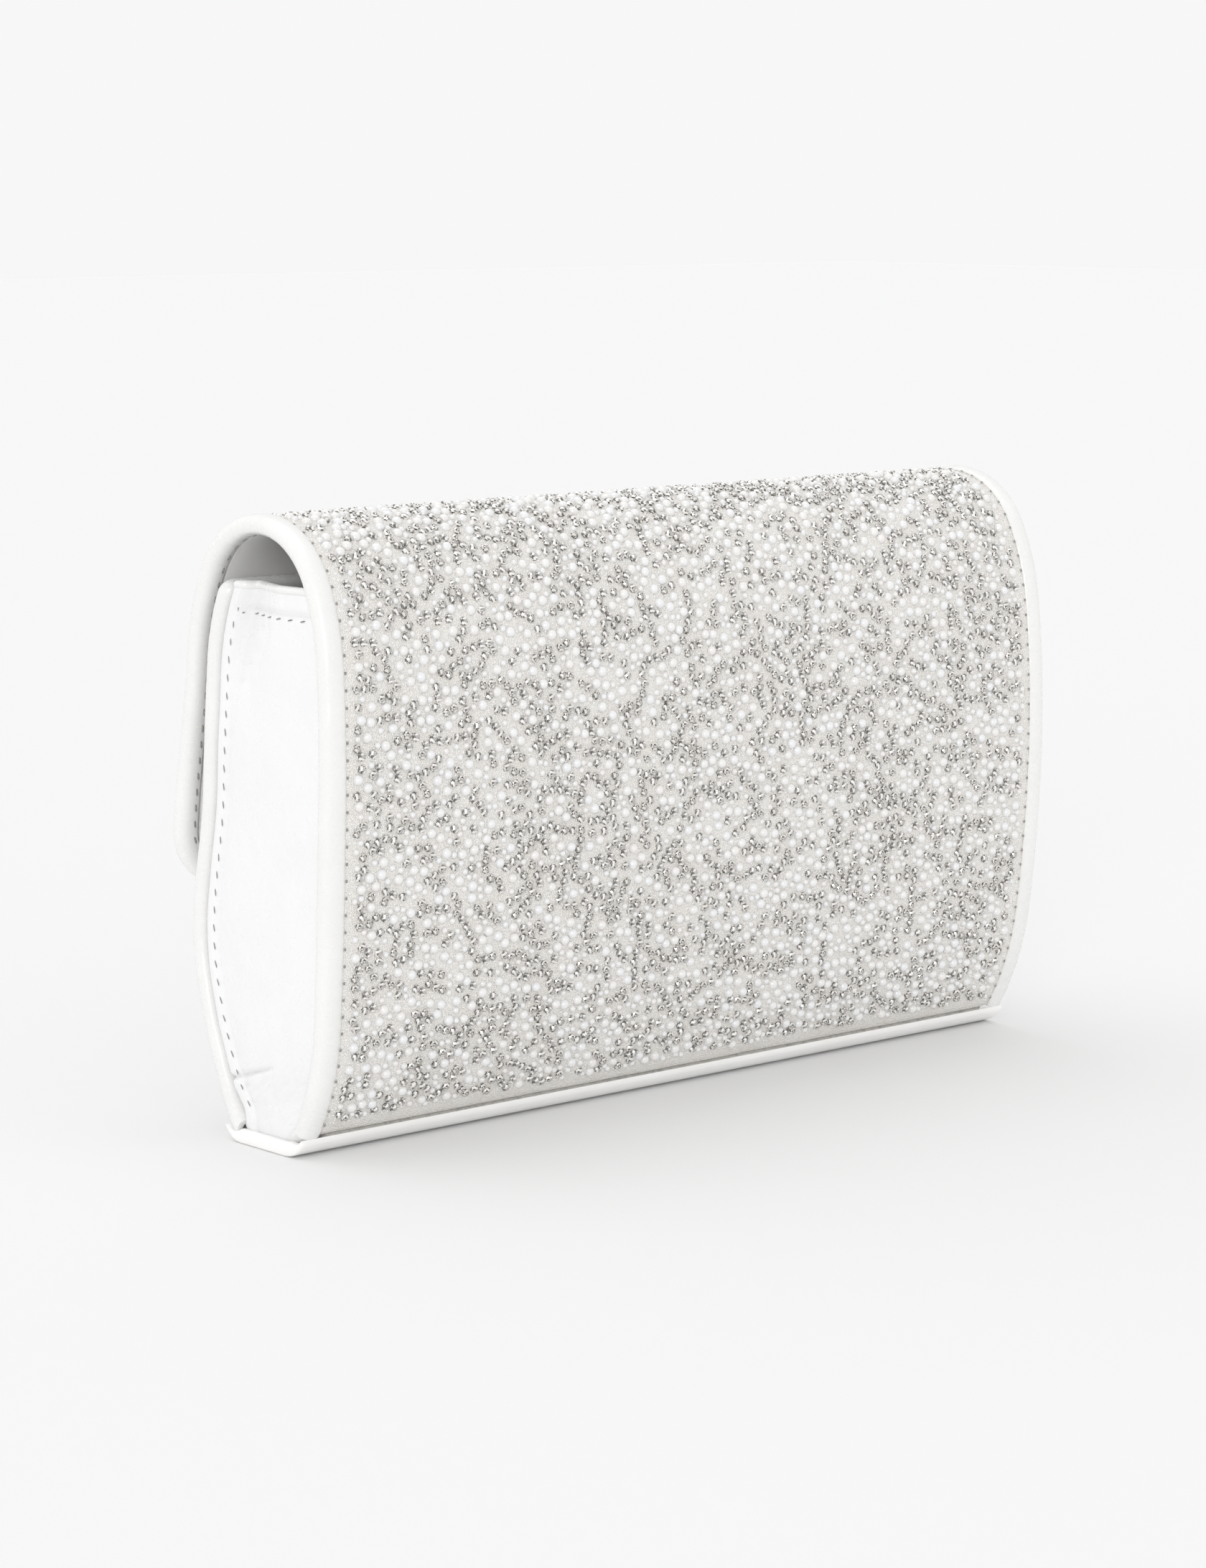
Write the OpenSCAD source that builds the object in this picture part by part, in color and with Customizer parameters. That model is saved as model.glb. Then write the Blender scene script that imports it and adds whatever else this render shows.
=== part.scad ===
// Beaded evening clutch: a stiffened back wall that runs over the top into a front flap,
// a leather front wall, folded end gussets, a base strip, a magnetic snap and two strap rings.
// Millimetres. X runs along the bag, the flap faces -Y, +Z is up, and the bag stands on Z = 0.
// A side profile point is a pose [[y, z], heading], walked with the inside of the bag on its left.

/* [Bag] */
// Overall length, over the two lips of the base strip
bag_length = 223; // [190:1:250]
// Thickness of every outer cover, binding and lining
skin = 1; // [0.9:0.05:1.1]
// Thickness of the stiffening boards
board = 2; // [1.9:0.1:2.6]
// Gap between the closed flap and the front wall, filled by the snap
flap_gap = 3; // [3:0.1:3.6]
// Width of the leather binding along every edge of the beaded cover
binding_w = 4.5; // [3.5:0.5:6]
// How far the end gussets are set in from the ends of the walls
gusset_inset = 6; // [5:0.5:8]
// Radius of the lower corners of the flap
flap_corner_r = 13; // [8:1:20]

/* [Snap] */
// Radius of both halves of the magnetic snap
snap_r = 7; // [6.6:0.1:9]
// Radius of the hole that takes the stud
snap_hole_r = 3.2; // [3.2:0.1:3.4]

/* [Strap rings] */
// Wire radius of a strap ring
wire_r = 1; // [0.8:0.1:1.2]
// Radius of the round end of a strap ring, at the middle of the wire
ring_r = 7; // [6.5:0.5:8]
// Width of the leather tab that holds a ring
tab_w = 9; // [7:0.5:10]

/* [Hidden] */
$fn = 96;

// Colours
beaded = [0.86, 0.85, 0.83];
leather = [0.96, 0.96, 0.95];
greyboard = [0.62, 0.58, 0.52];
foam = [0.90, 0.89, 0.84];
satin = [0.80, 0.78, 0.74];
silver = [0.78, 0.78, 0.80];
dark_metal = [0.32, 0.32, 0.34];

// Side profile. A run is [length, turn in degrees].
wall = 2 * skin + board;        // a finished wall: cover, board and lining
lip = 0.8;                      // how far the base strip passes the end of each wall
half = bag_length / 2 - lip;    // from the middle of the bag to the end of a wall
lean = 58;                      // heading of both walls where they leave the base
base_back = 8;                  // where the flat of the base ends at the back
corner_r = 8;                   // corner between the base and the back wall
back_runs = [[28, 24], [50, 8], [29, 7], [20, 21]];
arch_runs = [[24.6, 62], [24.6, 62]];
flap_runs = [[21, 22], [54, 5]];
front_low_runs = [[27, 8], [26, 25]];
front_rise = 1;                 // how far the front wall stands above the flap's hinge line
hinge_split = 0.15;             // clearance on each side of a hinge line
step_angle = 3;                 // finest turn and length between two profile points
step_length = 5;
far = 50;                       // farther than any part of the side profile

function radians(a) = a * PI / 180;
function last(list) = list[len(list) - 1];
function direction(pose) = [cos(pose[1]), sin(pose[1])];
function along(pose, run, share) =
    let (r = run[0] / radians(run[1]), h = pose[1], a = h + run[1] * share)
    [pose[0] + r * [sin(a) - sin(h), cos(h) - cos(a)], a];
function walk(pose, runs, i = 0) =
    i == len(runs) ? [] :
    let (n = ceil(max(runs[i][1] / step_angle, runs[i][0] / step_length)))
    concat([for (k = [1 : n]) along(pose, runs[i], k / n)],
           walk(along(pose, runs[i], 1), runs, i + 1));
function path(pose, runs) = concat([pose], walk(pose, runs));
function inset(pose, d) = pose[0] + d * [-sin(pose[1]), cos(pose[1])];
function slid(pose, d) = [pose[0] + d * direction(pose), pose[1]];
function trimmed(poses, start, end) =
    [for (i = [0 : len(poses) - 1])
        i == 0 ? slid(poses[i], start) : i == len(poses) - 1 ? slid(poses[i], -end) : poses[i]];
function tighter(runs, d) = [for (r = runs) [r[0] - d * radians(r[1]), r[1]]];
function ys(poses) = [for (p = poses) p[0][0]];

// The profile is drawn about the flat of the base, then moved so that the bag is centred on Y = 0.
corner_turn = [[corner_r * radians(lean), lean]];
drawn_back = path(last(path([[base_back, skin], 0], corner_turn)), back_runs);
drawn_arch = path(last(drawn_back), arch_runs);
drawn_flap = path(last(drawn_arch), flap_runs);
shift = -(max(ys(drawn_back)) + min(ys(drawn_flap))) / 2;
function moved(poses) = [for (p = poses) [p[0] + [shift, 0], p[1]]];

back_path = moved(drawn_back);
arch_path = moved(drawn_arch);
flap_path = moved(drawn_flap);
hinge_back = arch_path[0];
hinge_front = flap_path[0];

// The front wall runs parallel to the closed flap, then curves down to the base.
front_depth = wall + flap_gap;
front_start = [inset(hinge_front, front_depth), hinge_front[1]];
front_path = concat([slid(front_start, -front_rise)],
                    path(front_start, concat(tighter(flap_runs, front_depth), front_low_runs)));
front_foot = last(front_path);
front_corner_r = (front_foot[0][1] - skin) / (1 - cos(lean));
base_path = concat(
    path(front_foot, [[front_corner_r * radians(lean), lean]]),
    path([[base_back + shift, skin], 0], corner_turn));
body_path = concat(front_path, base_path, back_path);

// 2D: the strip between two depths inside a path, and the whole area inside the body path.
module strip(poses, d0, d1)
    polygon(concat([for (p = poses) inset(p, d0)],
                   [for (i = [len(poses) - 1 : -1 : 0]) inset(poses[i], d1)]));
module section(d)
    polygon([for (p = body_path) inset(p, d)]);

// 3D: a side profile carried along X.
module across(x0, x1)
    translate([x0, 0, 0]) rotate([90, 0, 90]) linear_extrude(x1 - x0) children();
module sheet(poses, d0, d1, x0, x1)
    across(x0, x1) strip(poses, d0, d1);

// A leather edge folded round three layers of wall: the outer leg, the end and the inner leg.
module folded_edge(poses) {
    sheet(poses, 0, skin, half - binding_w, half);
    sheet(poses, skin, wall - skin, half - skin, half);
    sheet(poses, wall - skin, wall, half - binding_w, half);
}
module at_end(side) {
    if (side > 0) children();
    else mirror([1, 0, 0]) children();
}

// The flap as seen from the front, shrunk by an inset. Its lower corners are round.
flap_foot = last(flap_path)[0][1];
flap_top = hinge_front[0][1] + wall;
module flap_outline(less) {
    w = half - less;
    low = flap_foot + less;
    r = flap_corner_r - less;
    translate([-w, low + r]) square([2 * w, flap_top - low - r]);
    translate([-w + r, low]) square([2 * (w - r), r + 1]);
    for (x = [-w + r, w - r]) translate([x, low + r]) circle(r);
}
module flap_prism(less)
    rotate([90, 0, 0]) linear_extrude(2 * far, center = true) flap_outline(less);

// Layers of the three parts of the wrap, trimmed clear of the hinge lines.
back_wall = trimmed(back_path, 0, hinge_split);
arch_wall = trimmed(arch_path, hinge_split, hinge_split);
flap_wall = trimmed(flap_path, hinge_split, 0);
flap_slack = trimmed(flap_path, -hinge_split, 0);    // runs past the hinge line, to cut with

// Local frame on a wall: X along the bag, Y along the profile, Z into the bag.
module on_wall(pose, d)
    translate([0, pose[0][0], pose[0][1]]) rotate([pose[1], 0, 0]) translate([0, 0, d]) children();

// Magnetic snap. Depths are from the outer face of the flap, and the front wall starts at front_depth.
snap_at = along(along(hinge_front, flap_runs[0], 1), flap_runs[1], 0.72);
prong_x = 4;
prong = [0.8, 3];
prong_foot = 2;                 // length of the bent end of a prong
prong_slot = 0.2;               // room round a prong in the layers that it passes through
washer_r = 8;
washer_t = 0.5;
washer_hole_r = 2;
washer_play = 0.3;              // gap round a washer in its recess
prong_t = 0.5;
washer_room = washer_t + prong_t + 0.2;
plate_t = 0.4;
stud_plate_t = 0.7;
stud_seat = 0.1;                // the flap is hollow, so the flat plate stands off its lining
stud_r = 2.4;
stud_h = 1.3;
snap_play = 0.3;
case_wall = 0.5;
magnet_play = 0.05;
case_face = wall + stud_seat + stud_plate_t + snap_play;
case_h = front_depth - case_face - plate_t;
stud_prong_at = wall - skin - washer_room + 0.1;
module prongs(h, grow = 0)
    for (x = [-prong_x, prong_x])
        translate([x - prong[0] / 2 - grow, -prong[1] / 2 - grow, 0])
            cube([prong[0] + 2 * grow, prong[1] + 2 * grow, h]);
module bent_prongs(z)
    for (s = [-1, 1])
        translate([s > 0 ? prong_x - prong[0] / 2 : -prong_x - prong_foot, -prong[1] / 2, z])
            cube([prong_foot + prong[0] / 2, prong[1], prong_t]);
module washer(z)
    translate([0, 0, z]) difference() {
        cylinder(h = washer_t, r = washer_r);
        translate([0, 0, -1]) cylinder(h = washer_t + 2, r = washer_hole_r);
        translate([0, 0, -1]) prongs(washer_t + 2, prong_slot / 2);
    }
module snap_slots(d, h)
    on_wall(snap_at, d) prongs(h, prong_slot);
module washer_recess(d)
    on_wall(snap_at, d) cylinder(h = washer_room, r = washer_r + washer_play);

// Beaded cover, board and binding of the back wall.
module back_cover()
    color(beaded) sheet(back_wall, 0, skin, -half + binding_w, half - binding_w);
module back_board()
    color(greyboard) sheet(back_wall, skin, wall - skin, -half + skin, half - skin);
module back_binding(side)
    color(leather) at_end(side) folded_edge(back_wall);

// Leather front wall: its cover is turned over the top and both ends of the board.
module front_cover()
    color(leather) difference() {
        union() {
            sheet(front_path, 0, skin, -half, half);
            sheet([slid(front_path[0], -skin), front_path[0]], 0, wall, -half, half);
            for (side = [-1, 1]) at_end(side) folded_edge(front_path);
        }
        snap_slots(front_depth - 1, skin + 2);
    }
module front_board()
    color(greyboard) difference() {
        sheet(front_path, skin, wall - skin, -half + skin, half - skin);
        snap_slots(front_depth, wall);
        washer_recess(front_depth + wall - skin - washer_room);
    }

// Base: a board, and a leather strip that covers the joint of both walls.
module base_board()
    color(greyboard) sheet(base_path, 0, wall - skin, -half + skin, half - skin);
module base_strip()
    color(leather) sheet(base_path, -skin, 0, -bag_length / 2, bag_length / 2);

// One lining sheet, from the top of the front wall under the base and up the back wall.
lining_path = concat(front_path, base_path, back_wall);
module body_lining()
    color(satin) sheet(lining_path, wall - skin, wall, -half + binding_w, half - binding_w);

// End gussets: a panel set in from the end, a flange turned out against the walls, and a top hem.
gusset_face = half - gusset_inset;
hem_h = 5;
hem_t = 0.8;
lining_t = 0.8;
module gusset(side)
    color(leather) at_end(side) {
        across(gusset_face - skin, gusset_face) section(wall);
        sheet(body_path, wall, wall + skin, gusset_face, half);
        across(gusset_face, gusset_face + hem_t) intersection() {
            section(wall + skin);
            translate([-far, hinge_back[0][1] - wall - hem_h]) square([2 * far, hem_h + wall]);
        }
    }
lining_face = gusset_face - skin - lining_t;
module gusset_lining(side)
    color(satin) at_end(side) across(lining_face, gusset_face - skin) section(wall);

// Slip pocket on the back lining, closed along its sides and its foot.
pocket_half = 62;
pocket_gap = 1.2;
pocket_t = 0.6;
pocket_h = 44;
pocket_turn = back_runs[1][1] * pocket_h / back_runs[1][0];
pocket_path = path(along(back_path[0], back_runs[0], 1), [[pocket_h, pocket_turn]]);
module slip_pocket()
    color(satin) {
        sheet(pocket_path, wall + pocket_gap, wall + pocket_gap + pocket_t, -pocket_half, pocket_half);
        sheet([pocket_path[0], pocket_path[1]], wall, wall + pocket_gap, -pocket_half, pocket_half);
        for (x = [-pocket_half, pocket_half - skin])
            sheet(pocket_path, wall, wall + pocket_gap, x, x + skin);
    }
module pocket_trim()
    color(leather) {
        rim = [pocket_path[len(pocket_path) - 2], last(pocket_path)];
        sheet(rim, wall + pocket_gap + pocket_t, wall + pocket_gap + 2 * pocket_t,
              -pocket_half, pocket_half);
    }

// Front half of the snap: a case round a ring magnet, closed by the plate that carries the prongs.
module snap_case()
    color(silver) on_wall(snap_at, case_face) difference() {
        cylinder(h = case_h, r = snap_r);
        translate([0, 0, -1]) cylinder(h = case_h + 2, r = snap_hole_r);
        translate([0, 0, plate_t]) difference() {
            cylinder(h = case_h, r = snap_r - case_wall);
            translate([0, 0, -1]) cylinder(h = case_h + 2, r = snap_hole_r + case_wall);
        }
    }
module snap_magnet()
    color(dark_metal) on_wall(snap_at, case_face + plate_t + magnet_play) difference() {
        h = case_h - plate_t - 2 * magnet_play;
        cylinder(h = h, r = snap_r - case_wall - magnet_play);
        translate([0, 0, -1]) cylinder(h = h + 2, r = snap_hole_r + case_wall + magnet_play);
    }
module snap_plate()
    color(silver) on_wall(snap_at, front_depth - plate_t) {
        cylinder(h = plate_t, r = snap_r);
        prongs(plate_t + wall - skin);
        bent_prongs(plate_t + wall - skin - prong_t);
    }
module snap_plate_washer()
    color(silver) on_wall(snap_at, front_depth) washer(wall - skin - prong_t - washer_t);

// Flap half of the snap: a plate with a stud, its prongs and their washer.
module snap_stud()
    color(silver) on_wall(snap_at, 0) {
        translate([0, 0, wall + stud_seat]) {
            cylinder(h = stud_plate_t, r = snap_r);
            cylinder(h = stud_plate_t + stud_h, r = stud_r);
        }
        translate([0, 0, stud_prong_at]) prongs(wall + stud_seat - stud_prong_at);
        bent_prongs(stud_prong_at);
    }
module snap_stud_washer()
    color(silver) on_wall(snap_at, 0) washer(stud_prong_at + prong_t);

// Strap rings, each on a leather tab on the inside of a gusset.
tab_t = 1;
tab_h = 10;                     // from the middle of the sleeve to the top of the tab
ring_drop = 2;                  // straight part of a ring, between its bar and its round end
sleeve_play = 0.1;
sleeve_r = wire_r + sleeve_play + tab_t;
ring_y = shift + 1.5;           // middle of the mouth
ring_z = hinge_back[0][1] - 16;
ring_x = lining_face - sleeve_r;
module ring_tab(side)
    color(leather) at_end(side) translate([ring_x, ring_y, ring_z]) difference() {
        union() {
            rotate([90, 0, 0]) cylinder(h = tab_w, r = sleeve_r, center = true);
            translate([sleeve_r - 2 * tab_t, -tab_w / 2, 0]) cube([2 * tab_t, tab_w, tab_h]);
        }
        rotate([90, 0, 0]) cylinder(h = tab_w + 2, r = wire_r + sleeve_play, center = true);
    }
module strap_ring(side)
    color(silver) at_end(side) translate([ring_x, ring_y, ring_z]) {
        rotate([90, 0, 0]) cylinder(h = 2 * ring_r, r = wire_r, center = true);
        for (s = [-1, 1]) translate([0, s * ring_r, 0]) {
            sphere(wire_r);
            translate([0, 0, -ring_drop]) cylinder(h = ring_drop, r = wire_r);
        }
        translate([0, 0, -ring_drop]) rotate([0, 90, 0]) rotate([0, 0, -90])
            rotate_extrude(angle = 180) translate([ring_r, 0]) circle(wire_r);
    }

// Soft top between the two hinge lines.
module top_cover()
    color(beaded) sheet(arch_wall, 0, skin, -half + binding_w, half - binding_w);
module top_padding()
    color(foam) sheet(arch_wall, skin, wall - skin, -half + skin, half - skin);
module top_lining()
    color(leather) sheet(arch_wall, wall - skin, wall, -half + binding_w, half - binding_w);
module top_binding(side)
    color(leather) at_end(side) folded_edge(arch_wall);

// Front flap. Its binding runs down one end, round the foot and up the other end.
module flap_cover()
    color(beaded) intersection() {
        sheet(flap_wall, 0, skin, -half, half);
        flap_prism(binding_w);
    }
module flap_board()
    color(greyboard) difference() {
        intersection() {
            sheet(flap_wall, skin, wall - skin, -half, half);
            flap_prism(skin);
        }
        snap_slots(0, wall);
        washer_recess(wall - skin - washer_room);
    }
module flap_lining()
    color(leather) difference() {
        intersection() {
            sheet(flap_wall, wall - skin, wall, -half, half);
            flap_prism(binding_w);
        }
        snap_slots(0, wall + 1);
    }
module flap_binding()
    color(leather) difference() {
        intersection() {
            sheet(flap_wall, 0, wall, -half, half);
            flap_prism(0);
        }
        intersection() {
            sheet(flap_slack, skin, wall - skin, -half, half);
            flap_prism(skin);
        }
        flap_prism(binding_w);
    }

back_cover();
back_board();
back_binding(-1);  // back_binding_left
back_binding(1);  // back_binding_right
front_cover();
front_board();
base_board();
base_strip();
body_lining();
gusset(-1);  // gusset_left
gusset(1);  // gusset_right
gusset_lining(-1);  // gusset_lining_left
gusset_lining(1);  // gusset_lining_right
slip_pocket();
pocket_trim();
snap_case();
snap_magnet();
snap_plate();
snap_plate_washer();
ring_tab(-1);  // ring_tab_left
ring_tab(1);  // ring_tab_right
strap_ring(-1);  // strap_ring_left
strap_ring(1);  // strap_ring_right
top_cover();
top_padding();
top_lining();
top_binding(-1);  // top_binding_left
top_binding(1);  // top_binding_right
flap_cover();
flap_board();
flap_lining();
flap_binding();
snap_stud();
snap_stud_washer();
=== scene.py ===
"""Looks of a beaded evening clutch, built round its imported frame.

Shapes are worked out in millimetres and every mesh is made in metres. A wall is a side profile walked
with the inside of the bag on its left; a place on it is (x, v, depth): x along the bag, v along the
profile and depth into the bag from the outer face.
"""

import logging
import math
import random
from dataclasses import dataclass, field
from enum import Enum
from typing import Callable, Iterable, Optional, Sequence

import bmesh
import bpy
import numpy as np
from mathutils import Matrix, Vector, noise


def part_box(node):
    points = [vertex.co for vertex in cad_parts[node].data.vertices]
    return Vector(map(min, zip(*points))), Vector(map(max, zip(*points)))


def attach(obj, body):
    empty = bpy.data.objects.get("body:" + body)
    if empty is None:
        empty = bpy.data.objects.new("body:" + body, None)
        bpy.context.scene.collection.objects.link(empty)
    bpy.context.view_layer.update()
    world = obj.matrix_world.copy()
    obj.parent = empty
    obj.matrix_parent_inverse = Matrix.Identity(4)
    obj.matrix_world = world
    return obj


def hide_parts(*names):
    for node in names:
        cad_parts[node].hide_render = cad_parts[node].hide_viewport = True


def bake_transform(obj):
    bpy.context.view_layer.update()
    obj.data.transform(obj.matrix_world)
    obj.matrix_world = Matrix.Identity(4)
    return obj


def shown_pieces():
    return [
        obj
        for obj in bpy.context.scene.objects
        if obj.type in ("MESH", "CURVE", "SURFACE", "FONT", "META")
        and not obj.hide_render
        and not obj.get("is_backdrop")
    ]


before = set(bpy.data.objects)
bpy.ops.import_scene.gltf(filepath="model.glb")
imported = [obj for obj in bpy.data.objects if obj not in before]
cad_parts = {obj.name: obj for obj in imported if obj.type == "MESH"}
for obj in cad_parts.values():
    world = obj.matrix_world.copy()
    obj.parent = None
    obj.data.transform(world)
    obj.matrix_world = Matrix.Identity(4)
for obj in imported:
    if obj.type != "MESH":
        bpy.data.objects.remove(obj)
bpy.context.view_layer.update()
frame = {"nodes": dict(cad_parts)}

LOG = logging.getLogger("clutch")
MM = 0.001


class Side(Enum):
    """The two ends of the bag."""

    LEFT = -1
    RIGHT = 1


class Stretch(Enum):
    """The two halves of the wrap, which meet along the top of the arch."""

    BACK = "back"
    FLAP = "flap"


# Side profile ---------------------------------------------------------------------------------------


@dataclass
class Profile:
    """A side profile as closely spaced points.

    Attributes:
        at: (n, 2) array of y and z.
        heading: direction of travel at each point, in radians.
        length: distance walked to each point.
    """

    at: np.ndarray
    heading: np.ndarray
    length: np.ndarray

    @classmethod
    def walked(cls, start: Sequence[float], heading: float, runs: Sequence[Sequence[float]]) -> "Profile":
        """Walk runs of (length, turn in degrees) from a start point.

        Args:
            start: y and z of the first point.
            heading: heading there, in degrees.
            runs: each arc's length and turn.

        Returns:
            The profile, with a point about every half millimetre.
        """
        at, headings, lengths = [np.array(start, float)], [math.radians(heading)], [0.0]
        for length, turn in runs:
            count = max(2, int(length * 2))
            y, z = at[-1]
            h, done, a = headings[-1], lengths[-1], math.radians(turn)
            radius = length / a
            for k in range(1, count + 1):
                b = h + a * k / count
                at.append(np.array([y + radius * (math.sin(b) - math.sin(h)),
                                    z + radius * (math.cos(h) - math.cos(b))]))
                headings.append(b)
                lengths.append(done + length * k / count)
        return cls(np.array(at), np.array(headings), np.array(lengths))

    def then(self, other: "Profile") -> "Profile":
        """Return this profile with another one carried on from its end."""
        return Profile(np.vstack([self.at, other.at[1:]]),
                       np.concatenate([self.heading, other.heading[1:]]),
                       np.concatenate([self.length, other.length[1:] + self.length[-1]]))

    def place(self, v: np.ndarray, depth: np.ndarray) -> tuple[np.ndarray, np.ndarray]:
        """Find places in the section.

        Args:
            v: distances along the profile.
            depth: depths inside it.

        Returns:
            y and z of each place.
        """
        inside = np.clip(v, self.length[0], self.length[-1])
        h = np.interp(inside, self.length, self.heading)
        past = v - inside
        y = np.interp(inside, self.length, self.at[:, 0]) + past * np.cos(h) - depth * np.sin(h)
        z = np.interp(inside, self.length, self.at[:, 1]) + past * np.sin(h) + depth * np.cos(h)
        return y, z

    def outward(self, v: np.ndarray) -> np.ndarray:
        """Return the (n, 3) outward direction at distances along the profile."""
        h = np.interp(v, self.length, self.heading)
        return np.stack([np.zeros_like(h), np.sin(h), -np.cos(h)], -1)

    def turned_to(self, z: float, low: float, high: float) -> float:
        """Return the distance between low and high at which the profile is nearest to a height."""
        inside = (self.length >= low) & (self.length <= high)
        return float(self.length[inside][np.argmin(abs(self.at[inside, 1] - z))])


@dataclass
class Wall:
    """A profile with a relief: how far the finished wall sinks in from the plain profile, by place."""

    profile: Profile
    relief: Callable[[np.ndarray, np.ndarray], np.ndarray]

    def point(self, x: np.ndarray, v: np.ndarray, depth: np.ndarray) -> np.ndarray:
        """Return the (..., 3) points at places on the wall."""
        x, v, depth = np.broadcast_arrays(*(np.asarray(part, float) for part in (x, v, depth)))
        y, z = self.profile.place(v, depth + self.relief(x, v))
        return np.stack([x, y, z], -1)


def smooth(t: np.ndarray) -> np.ndarray:
    """Return a soft step: 0 below 0 and 1 above 1."""
    t = np.clip(t, 0.0, 1.0)
    return t * t * (3 - 2 * t)


def ripple(points: np.ndarray, scale: float, seed: float = 0.0) -> np.ndarray:
    """Return smooth noise from -1 to 1 at points.

    Args:
        points: (..., 3) points in millimetres.
        scale: size of a ripple in millimetres.
        seed: offset that gives another pattern.

    Returns:
        One number for each point.
    """
    flat = points.reshape(-1, 3) / scale + seed
    found = np.array([noise.noise(Vector(p)) for p in flat])
    return found.reshape(points.shape[:-1])


def sheet_ripple(x: np.ndarray, v: np.ndarray, scale: float) -> np.ndarray:
    """Return smooth noise from -1 to 1 over an unrolled sheet."""
    return ripple(np.stack([x, v, 0 * x], -1), scale)


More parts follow.
